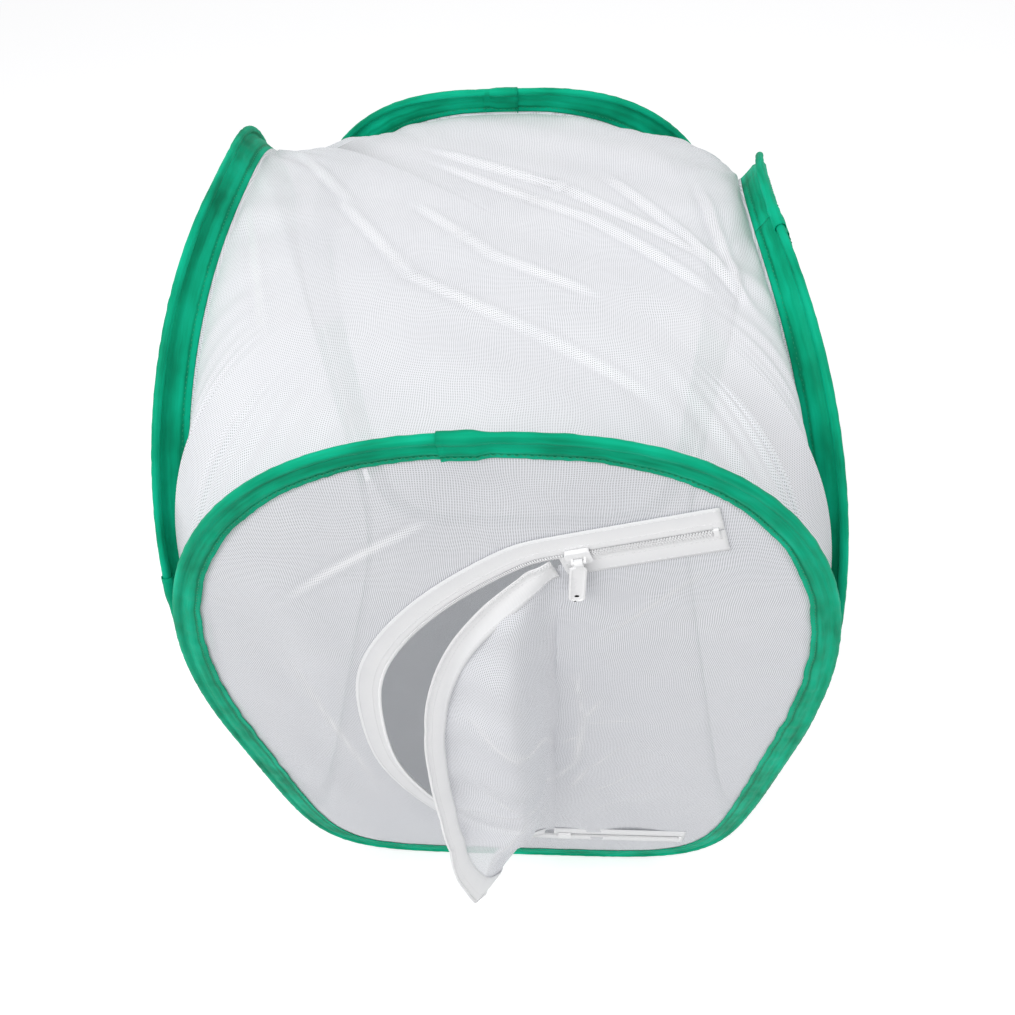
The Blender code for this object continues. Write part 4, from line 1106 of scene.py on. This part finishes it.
# The door: the piece of netting inside the D, still joined to the front along an upright line. It
# is unzipped and hangs out, its lower corner dropped, with slack folds from the bend to its edge.
DOOR_DRAPE_SHARES = (
    (0.000, 10, 1.00, 0.00), (0.009, 13, 1.00, 0.00), (0.041, 21, 1.00, 0.00),
    (0.102, 41, 1.05, 0.26), (0.174, 40, 1.00, 0.29), (0.260, 38, 0.93, 0.27),
    (0.371, 34, 0.82, 0.25), (0.484, 29, 0.79, 0.23), (0.634, 24, 0.80, 0.20),
    (0.729, 20, 0.82, 0.17), (0.814, 16, 0.88, 0.13), (0.888, 13, 0.95, 0.09),
    (0.942, 11, 0.98, 0.05), (0.990, 10, 0.98, 0.02), (1.000, 10, 0.98, 0.00),
)
DOOR_BOW_SHARE = 0.84
DROP_EXPONENT = 1.3
DOOR_LEAST_WIDTH = 0.02
DOOR_NET_START = 0.010
DOOR_BEND = 0.010
DOOR_TIP = (-0.0345, -0.2505, 0.112)
TIP_PULL = (0.000, -0.008, -0.009)
TIP_REACH = 0.020
LEAF_COLUMNS = 64
LEAF_ROWS = 260
LEAF_FOLD_HEIGHT = 0.0018
LEAF_FOLD_SPACING = 0.075
LEAF_FOLD_TILT = 0.5
LEAF_FOLD_SEED = 61
LEAF_FOLD_SKEW = 1.8
BEND_CALM = (0.004, 0.03)
RIM_CALM = (0.002, 0.02)
LEAF_CREASES = (
    ((-0.016, 0.288), (0.031, 0.222), 0.0016), ((-0.012, 0.200), (0.025, 0.156), 0.0014),
    ((-0.016, 0.391), (0.031, 0.300), 0.0010), ((-0.063, 0.291), (-0.050, 0.288), 0.0010),
    ((-0.050, 0.288), (-0.016, 0.288), 0.0012), ((-0.042, 0.318), (-0.020, 0.292), 0.0010),
    ((-0.034, 0.414), (-0.010, 0.371), 0.0010), ((-0.040, 0.150), (-0.018, 0.280), 0.0010),
)
LEAF_SEWN_PAST = 0.003


def hang(places):
    """Points of the open door's middle surface, from their places while it is closed and flat. It
    leaves the front in a soft bend."""
    heights, swings, reaches, drops = np.array(DOOR_DRAPE_SHARES).T
    outline = np.array(DOOR_OUTLINE_SHARES)[::-1]
    share = (places[..., 1] - DOOR_BOTTOM) / DOOR_HEIGHT
    width = np.interp(share, outline[:, 1], outline[:, 0]) * DOOR_WIDTH
    width = np.maximum(width, DOOR_LEAST_WIDTH)
    swing = np.radians(np.interp(share, heights, swings))
    reach = np.interp(share, heights, reaches)
    drop = np.interp(share, heights, drops) * DOOR_WIDTH
    radius = DOOR_HINGE_X - places[..., 0]
    part = np.maximum(radius / width, 0)
    bowed = np.clip(part / DOOR_BOW_SHARE, 0, 1)
    slack = np.sqrt(np.maximum(1 / reach - 1, 0))
    bow = 2 / math.pi * reach * width * slack * np.sin(math.pi * bowed) ** 2
    lift = bow - DOOR_STAND_OFF
    x = DOOR_HINGE_X - reach * radius * np.cos(swing) + lift * np.sin(swing)
    eased = np.sqrt(np.maximum(radius, 0) ** 2 + DOOR_BEND**2) - DOOR_BEND
    eased = eased * width / (np.sqrt(width**2 + DOOR_BEND**2) - DOOR_BEND)
    outward = DOOR_STAND_OFF + reach * eased * np.sin(swing) + lift * np.cos(swing)
    up = places[..., 1] - drop * part**DROP_EXPONENT
    points = np.stack([x, -PANEL_PLANE - outward, up], axis=-1)
    from_tip = np.linalg.norm(points - DOOR_TIP, axis=-1)
    return points + np.exp(-from_tip / TIP_REACH)[..., None] * np.array(TIP_PULL)


def on_door(places, outward):
    """Points of the open door at these places, moved outward along its surface's normal."""
    across = hang(places - (PROBE, 0)) - hang(places + (PROBE, 0))
    upward = hang(places + (0, PROBE)) - hang(places - (0, PROBE))
    normal = np.cross(upward, across)
    normal = normal / np.linalg.norm(normal, axis=-1, keepdims=True)
    outward = np.asarray(outward)
    return hang(places) + (outward[..., None] if outward.ndim else outward) * normal


door_path = door_cut()
leaf_rim = beside(door_path, -NET_EDGE)[DOOR_HINGE_X - door_path[:, 0] > DOOR_NET_START]


def leaf_law(shares_across, shares_along):
    """The door's netting, from just past the bend to under its zip tape."""
    rim = along_path(leaf_rim, shares_along)
    start = DOOR_HINGE_X + LEAF_SEWN_PAST
    places = np.stack([start + (rim[:, 0] - start) * shares_across, rim[:, 1]], axis=-1)
    radius = DOOR_HINGE_X - places[:, 0]
    calm = smooth_step(*BEND_CALM, radius) * smooth_step(*RIM_CALM, places[:, 0] - rim[:, 0])
    tilted = places[:, 1] + LEAF_FOLD_TILT * places[:, 0]
    folds = waves(places[:, 0], tilted, LEAF_FOLD_SPACING, LEAF_FOLD_SEED, LEAF_FOLD_SKEW)
    crease = creased(places, LEAF_CREASES, CREASE_SPREAD)
    points = on_door(places, calm * (LEAF_FOLD_HEIGHT * folds + crease))
    return points, places


leaf_netting = sheet_from("leaf_netting", LEAF_COLUMNS, LEAF_ROWS, leaf_law, side_netting,
                          gather=lambda points, weave: GATHERED_MOST * gathered(
                              weave, LEAF_CREASES, GATHER_WIDTH))
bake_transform(leaf_netting)
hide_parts("door_leaf")


# The zip's tapes: white polyester, woven with a fine rib, each sewn over the netting's edge by two
# rows of stitches. One runs all round on the frame, the other round the leaf and on past its ends.
TAPE_WALL = 0.00045
TAPE_COLUMNS = 8
TAPE_WHITE = (0.985, 0.985, 0.990, 1)
TAPE_SHADE = (0.880, 0.885, 0.900, 1)
SEW_LINES = (0.0060, 0.0145)
TAPE_STITCH = 0.0026
TAPE_THREAD_RADIUS = 0.00018
WHITE_THREAD = (0.95, 0.95, 0.96, 1)
TAPE_DIP = 0.00022
TAPE_RIPPLE = 0.00014
TAPE_RIPPLE_SPACING = 0.013
TAPE_RIPPLE_SEED = 71
TAPE_HINGE_GAP = 0.0006
TAPE_CORD = 0.0016
TAPE_ROW = 0.0022
TAPE_LEAST_ROWS = 24

tape_material, tree, shader = new_material("zip_tape")
weave = node(tree, "ShaderNodeUVMap", uv_map="weave").outputs[0]
ribs = place_group(tree, threads, {"Weave": weave, "Across": 0.0009, "Along": 0.0012})
apart = node(tree, "ShaderNodeSeparateXYZ", {0: weave}).outputs
cord_line = ranged(tree, apart["X"], TAPE_CORD, 0, 0, 1, soft=True)
soil = noise(tree, weave, 60, detail=3, flat=True)
covered = ranged(tree, apart["X"], 0.005, 0.016, 0, 0.55, soft=True)
ribbed = reckon(tree, "MULTIPLY_ADD", ribs["Height"], 0.20, covered)
dark = reckon(tree, "MULTIPLY_ADD", soil, 0.30, ribbed)
height = reckon(tree, "MULTIPLY_ADD", cord_line, 2.0, ribs["Height"])
dress(tree, shader, blend_colours(tree, dark, TAPE_WHITE, TAPE_SHADE), (0.6, 0.00012, height),
      {"Roughness": reckon(tree, "MULTIPLY_ADD", soil, 0.2, 0.55)})
white_thread = thread_material("white_thread", WHITE_THREAD, THREAD_TWIST)


def tape_law(path, way, near, far, place):
    """A law for a tape beside a path: across it from its near to its far edge, and along."""
    length = path_length(path)
    near_line = beside(path, way * near)
    far_line = beside(path, way * far)

    def law(shares_across, shares_along):
        inner = along_path(near_line, shares_along)
        outer = along_path(far_line, shares_along)
        places = inner + (outer - inner) * shares_across[:, None]
        across = near + (far - near) * shares_across
        uneven = waves(across, shares_along * length, TAPE_RIPPLE_SPACING, TAPE_RIPPLE_SEED)
        ripple = TAPE_RIPPLE * uneven * shares_across
        points = place(places, TAPE_LEVEL + np.abs(ripple))
        return points, np.stack([across - near, shares_along * length], axis=-1)
    return law, length


def sew_law(path, way, distance, place):
    """A law for a row of stitches in a tape."""
    line = beside(path, way * distance)
    count = round(path_length(line) / TAPE_STITCH)

    def route(shares, heights):
        return place(along_path(line, shares), TAPE_LEVEL + TAPE_WALL / 2 + heights)
    return thread_law(route, count, TAPE_THREAD_RADIUS, TAPE_DIP), count


def chain_line(chain, first, last):
    """A straight run along a closed chain."""
    return chain_places(chain, np.linspace(first, last, 12), 0)


# In each tape: its name, the node it replaces, its run, its side of the run, what its places lie
# on, and its body.
hinge_cut = door_path[DOOR_HINGE_X - door_path[:, 0] >= TAPE_HINGE_GAP]
upper_run = chain_line(UPPER, SLOT_END, UPPER.length)
lower_run = chain_line(LOWER, SLOT_END, LOWER.length)
TAPES = (
    ("frame_tape", "frame_zip_tape", zip_path(UPPER.length, LOWER.length), 1, flat_front, "cage"),
    ("leaf_tape", "leaf_zip_tape", hinge_cut, -1, on_door, "door"),
    ("upper_tape", "upper_leaf_tape", upper_run, 1, flat_front, "cage"),
    ("lower_tape", "lower_leaf_tape", lower_run, -1, flat_front, "cage"),
)
for name, cad_name, path, way, place, body in TAPES:
    law, length = tape_law(path, way, TAPE_INNER_EDGE, TAPE_OUTER_EDGE, place)
    stations = max(TAPE_LEAST_ROWS, round(length / TAPE_ROW))
    tape = sheet_from(name, TAPE_COLUMNS, stations, law, tape_material, TAPE_WALL)
    settle(tape, body, cad_name)
    for label, distance in zip(("inner", "outer"), SEW_LINES):
        law, count = sew_law(path, way, distance, place)
        row = sheet_from(f"{name}_{label}_stitches", STITCH_SIDES, count * STITCH_STATIONS, law,
                         white_thread, closed=True)
        settle(row, body)


# The zip's coils: a white nylon wire wound on each tape's edge, with flat turns whose heads lock
# into those of the other side. Two are open, along the frame and the leaf, and the rest is closed.
COIL_PITCH = 0.0013
COIL_WIRE = 0.00031
COIL_STEPS = 9
COIL_SIDES = 5
COIL_STEP = 2e-6
PROBE_UP = 0.001
COIL_WHITE = (0.985, 0.985, 0.990, 1)
COIL_SHADE = (0.93, 0.93, 0.94, 1)
CHAIN_START = 0.0027
CHAIN_LOCK = 0.0004
SLIDER_START = 0.0042
COIL_END_GAP = 0.0007
STOP_INSET = 0.005
DOOR_COIL_GAP = 0.0025

coil_material, tree, shader = new_material("zip_coil")
place_of = node(tree, "ShaderNodeTexCoord").outputs["Object"]
mottle = noise(tree, place_of, 700)
dress(tree, shader, blend_colours(tree, mottle, COIL_WHITE, COIL_SHADE), (0.2, 0.00004, mottle),
      {"Roughness": 0.35, "Subsurface Weight": 0.1, "Subsurface Radius": (0.001, 0.001, 0.001)})


def coil_law(path, way, place, phase=0.0, inner=COIL_INNER_EDGE):
    """A law for one wound wire beside a path, flattened so that its turns lie on the tape."""
    length = path_length(path)
    turns = round(length / COIL_PITCH)
    near = beside(path, way * (inner + COIL_WIRE))
    far = beside(path, way * (COIL_OUTER_EDGE - COIL_WIRE))
    middle_level = COIL_BOTTOM + COIL_HEIGHT / 2
    swing = COIL_HEIGHT / 2 - COIL_WIRE

    def centre(shares):
        turn = 2 * math.pi * (turns * shares + phase)
        side_share = 0.5 + 0.5 * np.cos(turn)
        side_share = side_share[:, None]
        line = along_path(near, shares) * side_share + along_path(far, shares) * (1 - side_share)
        return place(line, middle_level + swing * np.sin(turn))

    def law(shares_round, shares_along):
        middle = centre(shares_along)
        run = centre(shares_along + COIL_STEP) - middle
        run = run / np.linalg.norm(run, axis=1, keepdims=True)
        beneath = along_path(near, shares_along)
        flat = place(beneath, middle_level + PROBE_UP) - place(beneath, middle_level)
        first = np.cross(run, flat)
        first = first / np.linalg.norm(first, axis=1, keepdims=True)
        second = np.cross(run, first)
        turn = 2 * math.pi * shares_round[:, None]
        points = middle + COIL_WIRE * (np.cos(turn) * first + np.sin(turn) * second)
        return points, np.stack([shares_round, shares_along], axis=-1)
    return law, turns


coil_reach = SLIDER_START - COIL_END_GAP
leaf_run = door_path[DOOR_HINGE_X - door_path[:, 0] >= DOOR_COIL_GAP]
COILS = (
    ("frame_teeth", "frame_coil", zip_path(coil_reach, coil_reach), 1, flat_front, "cage"),
    ("leaf_teeth", "leaf_coil", leaf_run, -1, on_door, "door"),
)
for name, cad_name, path, way, place, body in COILS:
    law, turns = coil_law(path, way, place)
    coil = sheet_from(name, COIL_SIDES, turns * COIL_STEPS, law, coil_material, closed=True)
    settle(coil, body, cad_name)
for chain in (UPPER, LOWER):
    run = chain_line(chain, SLIDER_START + CHAIN_START, chain.length - STOP_INSET - LAYER_GAP)
    for label, way, phase, cad_name in (("frame", 1, 0.0, f"{chain.name}_chain"),
                                        ("leaf", -1, 0.5, None)):
        law, turns = coil_law(run, way, flat_front, phase, -CHAIN_LOCK)
        half = sheet_from(f"{chain.name}_{label}_teeth", COIL_SIDES, turns * COIL_STEPS, law,
                          coil_material, closed=True)
        settle(half, "cage", cad_name)


# The sliders, pull tabs and stops: die-cast metal painted white. Each tab is a rounded plate with a
# raised rim and a small hole, joined by a neck to an eye that turns on the slider's bar.
PAINT_WHITE = (0.940, 0.940, 0.945, 1)
PAINT_WORN = (0.80, 0.80, 0.82, 1)
SLIDER_LENGTH = 0.012
SLIDER_WALL = 0.0009
SLIDER_OUTSIDE = COIL_BOTTOM + COIL_HEIGHT + 0.00035 + SLIDER_WALL
SLIDER_INSIDE = LIP_INSIDE - LAYER_GAP - SLIDER_WALL
BAR_LIFT = 0.0021
EYE_BORE_RADIUS = 0.00115
EYE_RADIUS = 0.00175
EYE_LENGTH = 0.0040
PULL_LENGTH = 0.034
PULL_WIDTH = 0.008
PULL_THICKNESS = 0.0011
PULL_CORNER = 0.0034
PULL_NECK = 0.0022
NECK_WIDTH = 0.0040
NECK_CLEARANCE = 0.0002
NECK_DROP = 0.0022
NECK_FLARE = 0.0012
SHOULDER_RADIUS = 0.0016
PULL_HOLE_RADIUS = 0.0012
PULL_HOLE_INSET = 0.0045
PULL_RIM = 0.0009
PULL_RIM_HEIGHT = 0.0003
PAINT_BEVEL = 0.00022
EYE_BEVEL = 0.0001
STOP_BEVEL = 0.0005
STOP_LENGTH = 0.0026
STOP_WIDTH = 0.0062
STOP_HEIGHT = 0.0015

paint, tree, shader = new_material("white_paint")
place_of = node(tree, "ShaderNodeTexCoord").outputs["Object"]
peel = noise(tree, place_of, 1100, detail=3)
patchy = noise(tree, place_of, 240, detail=4)
worn = ranged(tree, patchy, 0.55, 0.80, 0, 1)
dress(tree, shader, blend_colours(tree, worn, PAINT_WHITE, PAINT_WORN), (0.25, 0.00006, peel),
      {"Roughness": reckon(tree, "MULTIPLY_ADD", patchy, 0.25, 0.22)})
for chain in (UPPER, LOWER):
    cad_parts[f"{chain.name}_slider"].material_slots[0].material = paint


def piece_from(shape, name, body, cad_name):
    """A painted piece from its finished bmesh, riding on a body in place of a CAD node."""
    bmesh.ops.recalc_face_normals(shape, faces=shape.faces)
    mesh = bpy.data.meshes.new(name)
    shape.to_mesh(mesh)
    shape.free()
    mesh.shade_smooth()
    mesh.set_sharp_from_angle(angle=math.radians(35))
    mesh.materials.append(paint)
    piece = bpy.data.objects.new(name, mesh)
    bpy.context.scene.collection.objects.link(piece)
    settle(piece, body, cad_name)


def ring_of(shape, places, level=0.0):
    """A closed loop of edges through these places."""
    verts = [shape.verts.new((x, y, level)) for x, y in places]
    return [shape.edges.new((start, end)) for start, end in zip(verts, verts[1:] + verts[:1])]


def arc(middle, radius, start, end, steps):
    """Places on an arc."""
    turns = np.linspace(start, end, steps + 1)
    return [(middle[0] + radius * math.cos(turn), middle[1] + radius * math.sin(turn))
            for turn in turns]


def bevel_sharp(shape, width, least):
    """Rounds every edge that is sharper than this angle."""
    sharp = [edge for edge in shape.edges
             if len(edge.link_faces) == 2 and edge.calc_face_angle() > least]
    bmesh.ops.bevel(shape, geom=sharp, offset=width, segments=2, profile=0.5, affect="EDGES",
                    material=-1)


def tab_outline(inset):
    """The outline of a pull tab, its neck up, drawn in by an inset."""
    half = PULL_WIDTH / 2 - inset
    neck = NECK_WIDTH / 2 - inset
    corner = PULL_CORNER - inset
    low = -PULL_LENGTH + inset
    shoulder = -PULL_NECK - NECK_DROP
    round_off = SHOULDER_RADIUS
    flare = shoulder + NECK_FLARE
    return [
        *arc((half - corner, low + corner), corner, -math.pi / 2, 0, 8),
        *arc((half - round_off, shoulder - round_off), round_off, 0, math.pi / 3, 4),
        (neck, flare), (neck, -inset), (-neck, -inset), (-neck, flare),
        *arc((-half + round_off, shoulder - round_off), round_off, 2 * math.pi / 3, math.pi, 4),
        *arc((-half + corner, low + corner), corner, math.pi, 3 * math.pi / 2, 8),
    ]


for chain, facing in ((UPPER, 1), (LOWER, -1)):
    skin = SLIDER_OUTSIDE if facing > 0 else SLIDER_INSIDE
    bar = flat_front(chain_places(chain, np.float64(SLIDER_START + SLIDER_LENGTH / 2), 0),
                     skin + facing * BAR_LIFT)
    hole = arc((0, -PULL_LENGTH + PULL_HOLE_INSET), PULL_HOLE_RADIUS, 0, 2 * math.pi * 15 / 16, 15)
    shape = bmesh.new()
    face = PULL_THICKNESS / 2
    sunk = face - PULL_RIM_HEIGHT
    steps = ((PULL_RIM, -sunk), (PULL_RIM, -face), (0, -face), (0, face), (PULL_RIM, face),
             (PULL_RIM, sunk))
    loops = [ring_of(shape, tab_outline(inset), level) for inset, level in steps]
    for lower, upper in zip(loops, loops[1:]):
        bmesh.ops.bridge_loops(shape, edges=lower + upper)
    holes = [ring_of(shape, hole, level) for level in (-sunk, sunk)]
    bmesh.ops.bridge_loops(shape, edges=holes[0] + holes[1])
    for rim, inner_rim in ((loops[0], holes[0]), (loops[-1], holes[1])):
        bmesh.ops.triangle_fill(shape, use_beauty=True, edges=rim + inner_rim, normal=(0, 0, 1))
    bmesh.ops.recalc_face_normals(shape, faces=shape.faces)
    shape.normal_update()
    bevel_sharp(shape, PAINT_BEVEL, math.radians(50))
    # The tab's own axes become across, up and outward, and its top meets the bar
    bmesh.ops.transform(shape, verts=shape.verts,
                        matrix=Matrix(((1, 0, 0), (0, 0, -1), (0, 1, 0))).to_4x4())
    ring = bmesh.new()
    section = ring_of(ring, [(-EYE_LENGTH / 2, EYE_BORE_RADIUS), (EYE_LENGTH / 2, EYE_BORE_RADIUS),
                             (EYE_LENGTH / 2, EYE_RADIUS), (-EYE_LENGTH / 2, EYE_RADIUS)])
    bmesh.ops.spin(ring, geom=section + ring.verts[:], cent=(0, 0, 0), axis=(1, 0, 0),
                   angle=2 * math.pi, steps=24, use_merge=True)
    bmesh.ops.recalc_face_normals(ring, faces=ring.faces)
    ring.normal_update()
    bevel_sharp(ring, EYE_BEVEL, math.radians(60))
    bmesh.ops.rotate(ring, verts=ring.verts, cent=(0, 0, 0),
                     matrix=Matrix.Rotation(-chain.slope, 3, "Y"))
    ring_mesh = bpy.data.meshes.new("ring")
    ring.to_mesh(ring_mesh)
    ring.free()
    neck_end = -EYE_BORE_RADIUS - NECK_CLEARANCE
    for vert in shape.verts:
        vert.co.z = min(vert.co.z, neck_end)
    shape.from_mesh(ring_mesh)
    bpy.data.meshes.remove(ring_mesh)
    bmesh.ops.translate(shape, vec=bar, verts=shape.verts)
    piece_from(shape, f"{chain.name}_tab", f"{chain.name}_pull_body", f"{chain.name}_pull")

    shape = bmesh.new()
    stop_start = chain.length - STOP_INSET
    bmesh.ops.create_cube(shape, size=1)
    bmesh.ops.scale(shape, vec=(STOP_LENGTH, STOP_HEIGHT, STOP_WIDTH), verts=shape.verts)
    bmesh.ops.bevel(shape, geom=shape.edges[:], offset=STOP_BEVEL, segments=3, profile=0.5,
                    affect="EDGES", material=-1)
    bmesh.ops.rotate(shape, verts=shape.verts, cent=(0, 0, 0),
                     matrix=Matrix.Rotation(-chain.slope, 3, "Y"))
    middle = flat_front(chain_places(chain, np.float64(stop_start + STOP_LENGTH / 2), 0),
                        COIL_BOTTOM + STOP_HEIGHT / 2)
    bmesh.ops.translate(shape, vec=middle, verts=shape.verts)
    piece_from(shape, f"{chain.name}_end_stop", "cage", f"{chain.name}_stop")
